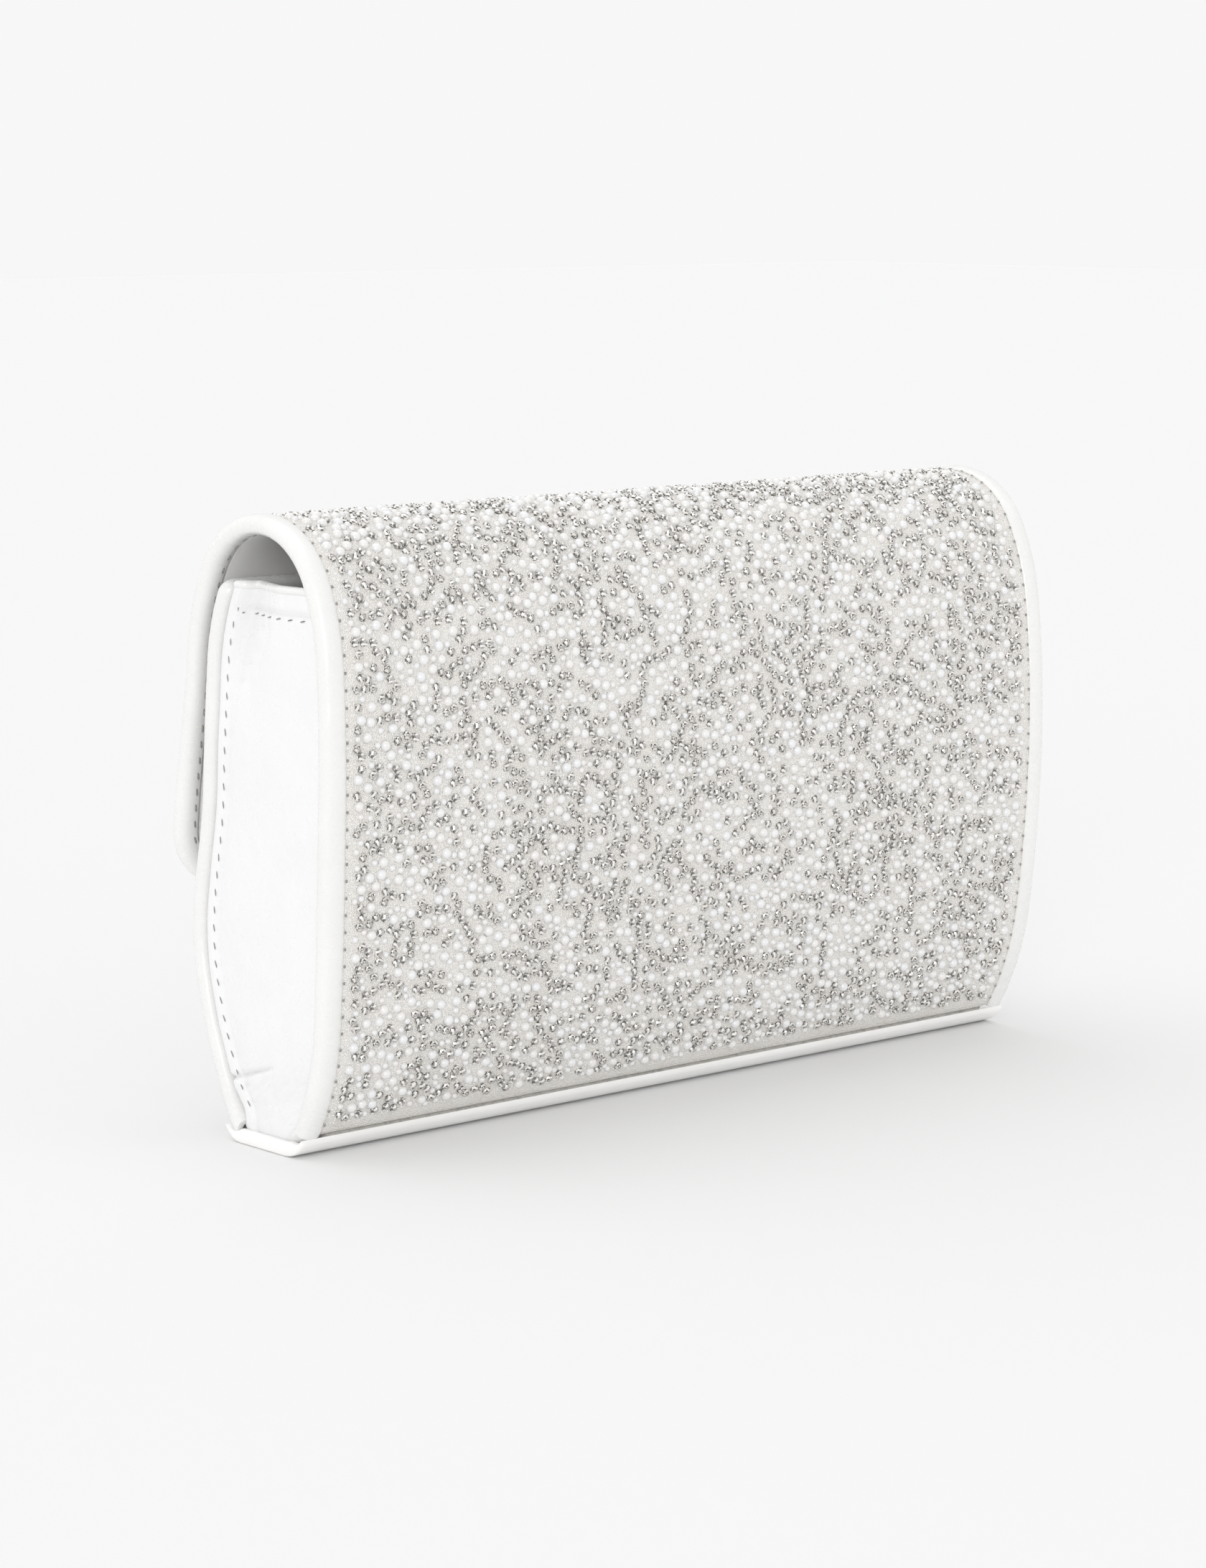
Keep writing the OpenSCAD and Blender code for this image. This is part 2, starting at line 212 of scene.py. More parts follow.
@dataclass
class BagShape:
    """Driving sizes of the bag and the walls that follow from them.

    Attributes:
        half: half the bag's length.
        skin: thickness of the strip under the base.
        wall: thickness of a finished wall, from cover to lining.
        flap_gap: room between the flap and the front wall.
        corner: radius of the flap's lower corners.
        lean: how far the walls lean out at the base, in degrees.
        base_back: how far the base's flat reaches behind the middle.
        base_corner: radius of the corner between the base and the back.
        shift: how far the whole profile sits behind the middle.
        back_runs: length and turn of each arc up the back.
        arch_runs: the same over the top.
        flap_runs: the same down the flap.
        front_low_runs: the same down the front wall below the flap.
        pillow: how far the middle of the back stands proud.
        end_sink: how far the back sinks in at its two ends.
        flare: how far the flap's lower corners stand off.
        front_belly: how far the front wall swells below the snap.
        snap_share: place of the snap along the flap's lower run.
        snap_pull: spread of the dip that the snap pulls in the flap, squared.
        flap_puff: how far the flap puffs out between its edges.
        belly_height: height of the front wall's belly.
        belly_reach: how far the belly reaches up and down.
    """

    half: float
    skin: float = 1.0
    wall: float = 4.0
    flap_gap: float = 3.0
    corner: float = 13.0
    lean: float = 58.0
    base_back: float = 8.0
    base_corner: float = 8.0
    shift: float = 0.87
    back_runs: Sequence[Sequence[float]] = ((28, 24), (50, 8), (29, 7), (20, 21))
    arch_runs: Sequence[Sequence[float]] = ((24.6, 62), (24.6, 62))
    flap_runs: Sequence[Sequence[float]] = ((21, 22), (54, 5))
    front_low_runs: Sequence[Sequence[float]] = ((27, 8), (26, 25))
    pillow: float = 0.8
    end_sink: tuple = (0.5, 3.6)
    flare: float = 3.6
    front_belly: float = 3.6
    snap_share: float = 0.72
    snap_pull: float = 650.0
    flap_puff: float = 0.45
    belly_height: float = 45.0
    belly_reach: float = 34.0

    def __post_init__(self) -> None:
        """Walk the profiles and set the distances that the other pieces use."""
        turn = ((self.base_corner * math.radians(self.lean), self.lean),)
        corner = Profile.walked((self.base_back + self.shift, self.skin), 0, turn)
        back = Profile.walked(corner.at[-1], self.lean, self.back_runs)
        arch = Profile.walked(back.at[-1], math.degrees(back.heading[-1]), self.arch_runs)
        flap = Profile.walked(arch.at[-1], math.degrees(arch.heading[-1]), self.flap_runs)
        self.hinge_back = back.at[-1]
        self.hinge_front = arch.at[-1]
        self.hinge_heading = (float(back.heading[-1]), float(arch.heading[-1]))
        self.back_end = float(back.length[-1])
        self.crest = self.back_end + self.arch_runs[0][0]
        self.arch_end = self.back_end + float(arch.length[-1])
        self.wrap_end = self.arch_end + float(flap.length[-1])
        self.snap_at = self.arch_end + self.flap_runs[0][0] + self.snap_share * self.flap_runs[1][0]
        depth = self.wall + self.flap_gap
        h = self.hinge_heading[1]
        start = self.hinge_front + depth * np.array([-math.sin(h), math.cos(h)])
        start = start - np.array([math.cos(h), math.sin(h)])
        runs = [(1.0, 0.001)]
        runs += [(length - depth * math.radians(turned), turned) for length, turned in self.flap_runs]
        front = Profile.walked(start, math.degrees(h), runs + list(self.front_low_runs))
        foot_radius = (front.at[-1][1] - self.skin) / (1 - math.cos(math.radians(self.lean)))
        foot = Profile.walked(front.at[-1], math.degrees(front.heading[-1]),
                              ((foot_radius * math.radians(self.lean), self.lean),))
        flat = self.base_back + self.shift - foot.at[-1][0]
        straight = Profile.walked(foot.at[-1], 360.0, ((flat, 0.001),))
        self.front_end = float(front.length[-1])
        self.base_end = self.front_end + float(foot.length[-1] + straight.length[-1] + corner.length[-1])
        self.belly_at = front.turned_to(self.belly_height, 0.0, self.front_end)
        wrap = back.then(arch).then(flap)
        turned_corner = Profile(corner.at, corner.heading + 2 * math.pi, corner.length)
        turned_back = Profile(back.at, back.heading + 2 * math.pi, back.length)
        body = front.then(foot).then(straight).then(turned_corner).then(turned_back)
        self.wrap = Wall(wrap, self.wrap_relief)
        self.body = Wall(body, self.body_relief)

    def wrap_relief(self, x: np.ndarray, v: np.ndarray) -> np.ndarray:
        """Shape the wrap: the back is pillowed, and the flap a little.

        Args:
            x: places along the bag.
            v: places along the wrap.

        Returns:
            How far the wrap sinks in at each place.
        """
        t = np.abs(x) / self.half
        swell = np.sin(math.pi * np.clip(v / self.back_end, 0, 1)) ** 1.5
        sink = np.where(x < 0, self.end_sink[0], self.end_sink[1])
        back = swell * (sink * t ** 3.0 - self.pillow)
        share = np.clip((v - self.arch_end) / (self.wrap_end - self.arch_end), 0, 1)
        off_snap = 1 - np.exp(-(x ** 2 + (v - self.snap_at) ** 2) / self.snap_pull)
        puff = self.flap_puff * np.sin(math.pi * share) * off_snap * (1 - t ** 4)
        return back - puff - self.flare * smooth((share - 0.3) / 0.6) * t ** 3

    def body_relief(self, x: np.ndarray, v: np.ndarray) -> np.ndarray:
        """Shape the body: the front wall has a belly below the snap.

        Args:
            x: places along the bag.
            v: places along the body's wall.

        Returns:
            How far the wall sinks in at each place.
        """
        t = np.abs(x) / self.half
        near = np.clip(np.abs(v - self.belly_at) / self.belly_reach, 0, 1)
        belly = -self.front_belly * np.cos(near * math.pi / 2) ** 2 * (0.75 + 0.25 * t ** 2)
        back = self.wrap_relief(x, np.clip(v - self.base_end, 0, self.back_end))
        return np.where(v > self.base_end, back, belly)

    def flap_half_width(self, v: np.ndarray, less: float) -> np.ndarray:
        """Return half the width of the flap at v, shrunk by an inset, with its round lower corners."""
        w, r, low = self.half - less, self.corner - less, self.wrap_end - less
        into = np.clip(v - (low - r), 0, r)
        return w - r + np.sqrt(np.maximum(r * r - into * into, 0))


# Meshes ---------------------------------------------------------------------------------------------


def grid_faces(rows: int, cols: int, start: int = 0, around: bool = False) -> list[tuple[int, ...]]:
    """Return the quads of a grid of points.

    Args:
        rows: number of rows.
        cols: number of columns.
        start: index of the first point.
        around: whether the last column joins the first.

    Returns:
        Four point indices for each face.
    """
    faces = []
    for i in range(rows - 1):
        for j in range(cols if around else cols - 1):
            k = (j + 1) % cols
            a, b = start + i * cols, start + (i + 1) * cols
            faces.append((a + j, a + k, b + k, b + j))
    return faces


def link_object(name: str, data: bpy.types.ID) -> bpy.types.Object:
    """Make an object of some data and link it to the scene."""
    made = bpy.data.objects.new(name, data)
    bpy.context.scene.collection.objects.link(made)
    return made


def make_piece(name: str, points: np.ndarray, faces: Iterable[Sequence[int]], finish: "Finish",
               uv: Optional[np.ndarray] = None, sharp: float = 50.0) -> bpy.types.Object:
    """Make a mesh object with outward faces.

    Args:
        name: the piece's name.
        points: (n, 3) points in millimetres.
        faces: point indices of each face.
        finish: its finish.
        uv: (n, 2) surface coordinates in millimetres.
        sharp: edges steeper than this many degrees stay crisp.

    Returns:
        The object, linked to the scene.
    """
    mesh = bpy.data.meshes.new(name)
    mesh.from_pydata((np.asarray(points).reshape(-1, 3) * MM).tolist(), [], [tuple(f) for f in faces])
    if uv is not None:
        layer = mesh.uv_layers.new(name="Surface")
        corners = np.zeros(len(mesh.loops), np.int32)
        mesh.loops.foreach_get("vertex_index", corners)
        layer.data.foreach_set("uv", (uv.reshape(-1, 2)[corners] * MM).astype(np.float32).ravel())
    shell = bmesh.new()
    shell.from_mesh(mesh)
    bmesh.ops.recalc_face_normals(shell, faces=shell.faces)
    shell.to_mesh(mesh)
    shell.free()
    mesh.polygons.foreach_set("use_smooth", [True] * len(mesh.polygons))
    mesh.set_sharp_from_angle(angle=math.radians(sharp))
    mesh.materials.append(finish.material())
    return link_object(name, mesh)


def closed_sheet(name: str, outer: np.ndarray, inner: np.ndarray, finish: "Finish",
                 uv: Optional[np.ndarray] = None, sharp: float = 50.0) -> bpy.types.Object:
    """Make a closed sheet from the grids of its two faces.

    Args:
        name: the piece's name.
        outer: (rows, cols, 3) points of one face in millimetres.
        inner: the same for the other face.
        finish: its finish.
        uv: (rows, cols, 2) surface coordinates.
        sharp: edges steeper than this many degrees stay crisp.

    Returns:
        The object, linked to the scene.
    """
    rows, cols = outer.shape[:2]
    size = rows * cols
    faces = grid_faces(rows, cols) + [f[::-1] for f in grid_faces(rows, cols, size)]
    rim = list(range(cols))
    rim += [i * cols + cols - 1 for i in range(1, rows)]
    rim += [(rows - 1) * cols + j for j in range(cols - 2, -1, -1)]
    rim += [i * cols for i in range(rows - 2, 0, -1)]
    for a, b in zip(rim, rim[1:] + rim[:1]):
        faces.append((b, a, a + size, b + size))
    points = np.concatenate([outer.reshape(-1, 3), inner.reshape(-1, 3)])
    both = None if uv is None else np.concatenate([uv.reshape(-1, 2)] * 2)
    return make_piece(name, points, faces, finish, both, sharp)


def spaced(low: float, high: float, step: float) -> np.ndarray:
    """Return evenly spaced numbers from low to high, about a step apart."""
    return np.linspace(low, high, max(2, int(round(abs(high - low) / step)) + 1))


def rounded_line(points: np.ndarray, closed: bool, times: int = 2) -> np.ndarray:
    """Return a line with its corners cut off, each time once more.

    Args:
        points: (n, k) points.
        closed: whether the line joins up.
        times: how many times the corners are cut.

    Returns:
        The line with more points.
    """
    for _ in range(times):
        after = np.roll(points, -1, 0) if closed else points[1:]
        before = points if closed else points[:-1]
        cut = np.stack([0.75 * before + 0.25 * after, 0.25 * before + 0.75 * after], 1)
        cut = cut.reshape(-1, points.shape[1])
        points = cut if closed else np.vstack([points[:1], cut, points[-1:]])
    return points


def spread_along(line: np.ndarray, step: float) -> np.ndarray:
    """Return a line with its points moved to be about a step apart."""
    gone = np.concatenate([[0], np.cumsum(np.linalg.norm(np.diff(line, axis=0), axis=1))])
    marks = spaced(0, gone[-1], step)
    return np.stack([np.interp(marks, gone, line[:, k]) for k in range(line.shape[1])], 1)


def rim_line(half: float, radius: float, start: float, end: float, step: float,
             turns: int) -> tuple[np.ndarray, np.ndarray]:
    """Return the line along one end of a sheet, round its far edge and back along the other end.

    Args:
        half: half the sheet's width.
        radius: radius of its two far corners.
        start: where the line starts and comes back, along the profile.
        end: where the far edge lies, along the profile.
        step: spacing of the points.
        turns: number of points that a corner is divided into.

    Returns:
        (n, 2) x and v, and (n, 2) directions out of the edge.
    """
    way = 1.0 if end > start else -1.0
    along = spaced(start, end - way * radius, step)
    bend = np.linspace(0, math.pi / 2, turns)[1:]
    corner = np.stack([half - radius + radius * np.cos(bend),
                       end - way * radius + way * radius * np.sin(bend)], 1)
    one = np.vstack([np.stack([np.full_like(along, half), along], 1), corner])
    out = np.vstack([np.stack([np.ones_like(along), np.zeros_like(along)], 1),
                     np.stack([np.cos(bend), way * np.sin(bend)], 1)])
    far = spaced(half - radius, -(half - radius), step)[1:-1]
    line = np.vstack([one, np.stack([far, np.full_like(far, end)], 1), one[::-1] * (-1, 1)])
    normal = np.vstack([out, np.stack([np.zeros_like(far), np.full_like(far, way)], 1), out[::-1] * (-1, 1)])
    return line, normal


# Finishes -------------------------------------------------------------------------------------------


class Nodes:
    """Short calls for building a node tree."""

    def __init__(self, tree: bpy.types.NodeTree) -> None:
        """Keep the tree that the nodes go into."""
        self.tree = tree

    def add(self, kind: str, inputs: Optional[dict] = None, **settings: object) -> bpy.types.Node:
        """Add a node.

        Args:
            kind: the node's type.
            inputs: socket name or index to a value or to another node's output.
            settings: properties of the node itself.

        Returns:
            The node.
        """
        node = self.tree.nodes.new(kind)
        for key, value in settings.items():
            setattr(node, key, value)
        for key, value in (inputs or {}).items():
            if isinstance(value, bpy.types.NodeSocket):
                self.tree.links.new(value, node.inputs[key])
            else:
                node.inputs[key].default_value = value
        return node

    def ramp(self, fac: bpy.types.NodeSocket, stops: Sequence[tuple]) -> bpy.types.NodeSocket:
        """Add a colour ramp and return its colour.

        Args:
            fac: what drives the ramp.
            stops: (place, colour) pairs.

        Returns:
            The colour's socket.
        """
        node = self.add("ShaderNodeValToRGB", {"Fac": fac})
        band = node.color_ramp
        while len(band.elements) < len(stops):
            band.elements.new(0.5)
        for element, (place, colour) in zip(band.elements, stops):
            element.position = place
            element.color = (*colour, 1.0)
        return node.outputs["Color"]

    def times(self, one: bpy.types.NodeSocket, other: bpy.types.NodeSocket) -> bpy.types.NodeSocket:
        """Multiply two colours."""
        return self.add("ShaderNodeMix", {"Factor": 1.0, 6: one, 7: other},
                        data_type="RGBA", blend_type="MULTIPLY").outputs[2]

    def bump(self, height: bpy.types.NodeSocket, distance: float, strength: float = 1.0,
             under: Optional[bpy.types.NodeSocket] = None) -> bpy.types.NodeSocket:
        """Add a bump.

        Args:
            height: what drives it, from 0 to 1.
            distance: its height in metres.
            strength: how much of it shows.
            under: the normal of a bump below it.

        Returns:
            The normal's socket.
        """
        inputs = {"Height": height, "Distance": distance, "Strength": strength}
        if under is not None:
            inputs["Normal"] = under
        return self.add("ShaderNodeBump", inputs).outputs["Normal"]


@dataclass(frozen=True)
class Finish:
    """A procedural finish. Each kind builds its own colour and surface nodes."""

    name: str

    def material(self) -> bpy.types.Material:
        """Return the finish's material, built once."""
        found = bpy.data.materials.get(self.name)
        if found is None:
            found = bpy.data.materials.new(self.name)
            found.use_nodes = True
            found.node_tree.nodes.clear()
            nodes = Nodes(found.node_tree)
            shader = self.shader(nodes)
            nodes.add("ShaderNodeOutputMaterial", {"Surface": shader.outputs[0]})
        return found

    def shader(self, nodes: Nodes) -> bpy.types.Node:
        """Build the shader. Each kind of finish has its own."""
        raise NotImplementedError

    @staticmethod
    def place(nodes: Nodes) -> bpy.types.NodeSocket:
        """Return the place on the piece, in metres."""
        return nodes.add("ShaderNodeTexCoord").outputs["Object"]


@dataclass(frozen=True)
class PatentLeather(Finish):
    """White leather under a glossy coat, with fine creases."""

    light: tuple = (0.87, 0.87, 0.875)
    shade: tuple = (0.85, 0.85, 0.852)
    roughness: float = 0.3
    coat: float = 0.6
    crease: float = 0.00012

    def shader(self, nodes: Nodes) -> bpy.types.Node:
        """Build the leather's shader."""
        place = self.place(nodes)
        soft = nodes.add("ShaderNodeTexNoise", {"Vector": place, "Scale": 55.0, "Detail": 4.0,
                                                "Roughness": 0.55, "Distortion": 0.6})
        fine = nodes.add("ShaderNodeTexNoise", {"Vector": place, "Scale": 420.0, "Detail": 3.0,
                                                "Roughness": 0.6})
        pores = nodes.add("ShaderNodeTexVoronoi", {"Vector": place, "Scale": 2600.0, "Randomness": 1.0})
        colour = nodes.ramp(soft.outputs["Fac"], [(0.3, self.shade), (0.62, self.light)])
        rough = nodes.add("ShaderNodeMapRange", {"Value": fine.outputs["Fac"], "From Min": 0.3,
                                                 "From Max": 0.7, "To Min": self.roughness - 0.06,
                                                 "To Max": self.roughness + 0.08})
        normal = nodes.bump(pores.outputs["Distance"], 0.00001, 0.25)
        normal = nodes.bump(fine.outputs["Fac"], self.crease * 0.12, 0.5, normal)
        normal = nodes.bump(soft.outputs["Fac"], self.crease, 0.8, normal)
        return nodes.add("ShaderNodeBsdfPrincipled", {
            "Base Color": colour, "Roughness": rough.outputs["Result"], "Normal": normal,
            "Specular IOR Level": 0.5, "Coat Weight": self.coat, "Coat Roughness": 0.09,
            "Coat IOR": 1.5})


@dataclass(frozen=True)
class CaviarGround(Finish):
    """The cloth under the stones, closely covered with tiny glass beads, with painted shade at each bead's
    rim and painted glints.
    """

    bead: float = 0.00042
    light: tuple = (0.98, 0.965, 0.94)
    shade: tuple = (0.93, 0.91, 0.88)

    def shader(self, nodes: Nodes) -> bpy.types.Node:
        """Build the beaded ground's shader."""
        place = nodes.add("ShaderNodeUVMap", uv_map="Surface").outputs["UV"]
        cells = nodes.add("ShaderNodeTexVoronoi", {"Vector": place, "Scale": 1.0 / self.bead,
                                                   "Randomness": 0.75}, voronoi_dimensions="2D")
        blotch = nodes.add("ShaderNodeTexNoise", {"Vector": place, "Scale": 160.0, "Detail": 3.0},
                           noise_dimensions="2D")
        # Painted shade: each bead is light in its middle and darker towards its rim and in the gaps between
        # beads.
        painted_rim_shade = nodes.ramp(cells.outputs["Distance"], [(0.25, self.light), (0.62, self.shade)])
        sparkle = nodes.add("ShaderNodeSeparateColor", {"Color": cells.outputs["Color"]})
        # Painted glints: each bead gets a random brightness, most near white and some a little darker, which
        # is partly random tone.
        painted_glint_and_tone = nodes.ramp(sparkle.outputs["Red"], [(0.0, (0.90, 0.89, 0.87)), (0.3, (0.99, 0.985, 0.975)),
                                                   (1.0, (1.0, 1.0, 1.0))])
        colour = nodes.times(painted_rim_shade, painted_glint_and_tone)
        spots = nodes.ramp(blotch.outputs["Fac"], [(0.35, (0.975, 0.965, 0.95)), (0.6, (1.0, 1.0, 0.995))])
        mixed = nodes.times(colour, spots)
        height = nodes.add("ShaderNodeMapRange", {"Value": cells.outputs["Distance"], "From Min": 0.0,
                                                  "From Max": 0.6, "To Min": 1.0, "To Max": 0.0})
        normal = nodes.bump(height.outputs["Result"], self.bead * 0.55, 0.9)
        return nodes.add("ShaderNodeBsdfPrincipled", {
            "Base Color": mixed, "Roughness": 0.28, "Specular IOR Level": 0.7,
            "Normal": normal, "Coat Weight": 0.35, "Coat Roughness": 0.15})


@dataclass(frozen=True)
class Pearl(Finish):
    """A half pearl: a white body under a soft gloss, each one tinted a little apart."""

    warm: tuple = (0.81, 0.79, 0.755)
    mid: tuple = (0.815, 0.81, 0.80)
    cool: tuple = (0.80, 0.81, 0.835)
    haze: tuple = (0.87, 0.865, 0.86)

    def shader(self, nodes: Nodes) -> bpy.types.Node:
        """Build the pearl's shader."""
        tint = nodes.add("ShaderNodeAttribute", attribute_name="tint")
        body = nodes.ramp(tint.outputs["Fac"], [(0.0, self.warm), (0.5, self.mid), (1.0, self.cool)])
        haze = nodes.add("ShaderNodeTexNoise", {"Vector": self.place(nodes), "Scale": 900.0, "Detail": 2.0})
        colour = nodes.add("ShaderNodeMix", {"Factor": haze.outputs["Fac"], 6: body, 7: (*self.haze, 1)},
                           data_type="RGBA")
        normal = nodes.bump(haze.outputs["Fac"], 0.00001, 0.3)
        return nodes.add("ShaderNodeBsdfPrincipled", {
            "Base Color": colour.outputs[2], "Roughness": 0.2, "Specular IOR Level": 0.7,
            "Normal": normal, "Coat Weight": 0.8, "Coat Roughness": 0.06, "Coat IOR": 1.6,
            "Sheen Weight": 0.15, "Sheen Roughness": 0.4})


@dataclass(frozen=True)
class Rhinestone(Finish):
    """Foiled glass cut in facets: painted reflection, by a random value on each facet, makes some facets
    flash white and others go dark.
    """

    def shader(self, nodes: Nodes) -> bpy.types.Node:
        """Build the stone's shader."""
        cut = nodes.add("ShaderNodeAttribute", attribute_name="cut")
        tint = nodes.add("ShaderNodeAttribute", attribute_name="tint")
        # Painted reflection: each facet's random cut value picks near black, grey or white.
        painted_flash = nodes.ramp(cut.outputs["Fac"], [(0.0, (0.05, 0.047, 0.042)), (0.26, (0.32, 0.31, 0.295)),
                                               (0.38, (1.0, 0.985, 0.96))])
        glint = nodes.ramp(tint.outputs["Fac"], [(0.0, (0.84, 0.83, 0.81)), (1.0, (1.0, 1.0, 1.0))])
        return nodes.add("ShaderNodeBsdfPrincipled", {
            "Base Color": nodes.times(painted_flash, glint), "Metallic": 0.7, "Roughness": 0.17,
            "Coat Weight": 1.0, "Coat Roughness": 0.06, "Coat IOR": 1.6})


@dataclass(frozen=True)
class SeedBead(Finish):
    """Tiny clear and milky glass beads."""

    def shader(self, nodes: Nodes) -> bpy.types.Node:
        """Build the bead's shader."""
        tint = nodes.add("ShaderNodeAttribute", attribute_name="tint")
        colour = nodes.ramp(tint.outputs["Fac"], [(0.0, (0.78, 0.76, 0.74)), (0.3, (0.92, 0.91, 0.895)),
                                                  (1.0, (0.97, 0.965, 0.955))])
        return nodes.add("ShaderNodeBsdfPrincipled", {
            "Base Color": colour, "Roughness": 0.12, "Specular IOR Level": 0.8,
            "Coat Weight": 0.5, "Coat Roughness": 0.05})


@dataclass(frozen=True)
class Metal(Finish):
    """Plated or sintered metal with fine brush marks and a few dull patches."""

    colour: tuple = (0.80, 0.80, 0.81)
    roughness: float = 0.18
    metallic: float = 1.0

    def shader(self, nodes: Nodes) -> bpy.types.Node:
        """Build the metal's shader."""
        place = self.place(nodes)
        stretched = nodes.add("ShaderNodeMapping", {"Vector": place, "Scale": (1.0, 9.0, 1.0)})
        brush = nodes.add("ShaderNodeTexNoise", {"Vector": stretched.outputs[0], "Scale": 900.0,
                                                 "Detail": 2.0})
        patch = nodes.add("ShaderNodeTexNoise", {"Vector": place, "Scale": 120.0, "Detail": 4.0})
        dim = tuple(c * 0.82 for c in self.colour)
        colour = nodes.ramp(patch.outputs["Fac"], [(0.35, dim), (0.6, self.colour)])
        rough = nodes.add("ShaderNodeMapRange", {
            "Value": patch.outputs["Fac"], "To Min": self.roughness + 0.12, "To Max": self.roughness})
        normal = nodes.bump(brush.outputs["Fac"], 0.00002, 0.35)
        return nodes.add("ShaderNodeBsdfPrincipled", {
            "Base Color": colour, "Roughness": rough.outputs["Result"], "Normal": normal,
            "Metallic": self.metallic})


@dataclass(frozen=True)
class Satin(Finish):
    """Satin woven with a fine diagonal rib."""

    colour: tuple = (0.74, 0.72, 0.68)
    rib: float = 0.0006

    def shader(self, nodes: Nodes) -> bpy.types.Node:
        """Build the satin's shader."""
        place = nodes.add("ShaderNodeUVMap", uv_map="Surface").outputs["UV"]
        turned = nodes.add("ShaderNodeMapping", {"Vector": place, "Rotation": (0, 0, math.radians(40))})
        rib = nodes.add("ShaderNodeTexWave", {"Vector": turned.outputs[0], "Scale": 0.16 / self.rib,
                                              "Distortion": 0.3, "Detail": 1.0}, wave_type="BANDS")
        slub = nodes.add("ShaderNodeTexNoise", {"Vector": place, "Scale": 240.0, "Detail": 3.0},
                         noise_dimensions="2D")
        deep = tuple(c * 0.86 for c in self.colour)
        colour = nodes.ramp(slub.outputs["Fac"], [(0.3, deep), (0.7, self.colour)])
        normal = nodes.bump(rib.outputs["Fac"], 0.00004, 0.5)
        normal = nodes.bump(slub.outputs["Fac"], 0.00008, 0.4, normal)
        return nodes.add("ShaderNodeBsdfPrincipled", {
            "Base Color": colour, "Roughness": 0.42, "Normal": normal, "Sheen Weight": 0.5,
            "Sheen Roughness": 0.35, "Anisotropic": 0.4})


@dataclass(frozen=True)
class Fibre(Finish):
    """Pressed board or open foam: flecked, dull and a little rough."""

    colour: tuple = (0.70, 0.68, 0.64)
    grain: float = 700.0

    def shader(self, nodes: Nodes) -> bpy.types.Node:
        """Build the board's shader."""
        place = self.place(nodes)
        fleck = nodes.add("ShaderNodeTexNoise", {"Vector": place, "Scale": self.grain, "Detail": 5.0,
                                                 "Roughness": 0.7})
        holes = nodes.add("ShaderNodeTexVoronoi", {"Vector": place, "Scale": self.grain * 1.6})
        dark = tuple(c * 0.72 for c in self.colour)
        colour = nodes.ramp(fleck.outputs["Fac"], [(0.35, dark), (0.55, self.colour)])
        normal = nodes.bump(fleck.outputs["Fac"], 0.00015, 0.6)
        normal = nodes.bump(holes.outputs["Distance"], 0.0001, 0.4, normal)
        return nodes.add("ShaderNodeBsdfPrincipled", {
            "Base Color": colour, "Roughness": 0.85, "Normal": normal})


@dataclass(frozen=True)
class Thread(Finish):
    """Twisted sewing thread."""

    colour: tuple = (0.40, 0.39, 0.38)

    def shader(self, nodes: Nodes) -> bpy.types.Node:
        """Build the thread's shader."""
        twist = nodes.add("ShaderNodeTexWave", {"Vector": self.place(nodes), "Scale": 1800.0,
                                                "Distortion": 1.5})
        dark = tuple(c * 0.6 for c in self.colour)
        colour = nodes.ramp(twist.outputs["Fac"], [(0.2, dark), (0.8, self.colour)])
        normal = nodes.bump(twist.outputs["Fac"], 0.00004, 0.6)
        return nodes.add("ShaderNodeBsdfPrincipled", {
            "Base Color": colour, "Roughness": 0.7, "Normal": normal})


LEATHER = PatentLeather("patent_leather")
ROLLED_LEATHER = PatentLeather("rolled_leather", light=(0.85, 0.848, 0.835), shade=(0.825, 0.822, 0.805),
                               roughness=0.26, crease=0.00008)
# A lighter copy of the white leather: painted light that lifts the linings under the arch and the strip under
# the base out of the shade they stand in. The ring tabs take it too.
LIGHTENED_LEATHER = PatentLeather("lining_leather", light=(0.96, 0.955, 0.945), shade=(0.93, 0.92, 0.90),
                               roughness=0.42, coat=0.15, crease=0.00006)
GROUND = CaviarGround("caviar_ground")
PEARL = Pearl("half_pearl")
STONE = Rhinestone("rhinestone")
BEAD = SeedBead("seed_bead")
SILVER = Metal("silver_plate")
MAGNET = Metal("magnet", colour=(0.26, 0.26, 0.28), roughness=0.4, metallic=0.7)
SATIN = Satin("satin_lining")
BOARD = Fibre("pressed_board")
FOAM = Fibre("top_foam", colour=(0.88, 0.86, 0.80), grain=1100.0)
THREAD = Thread("grey_thread")


# Repeated small parts -------------------------------------------------------------------------------


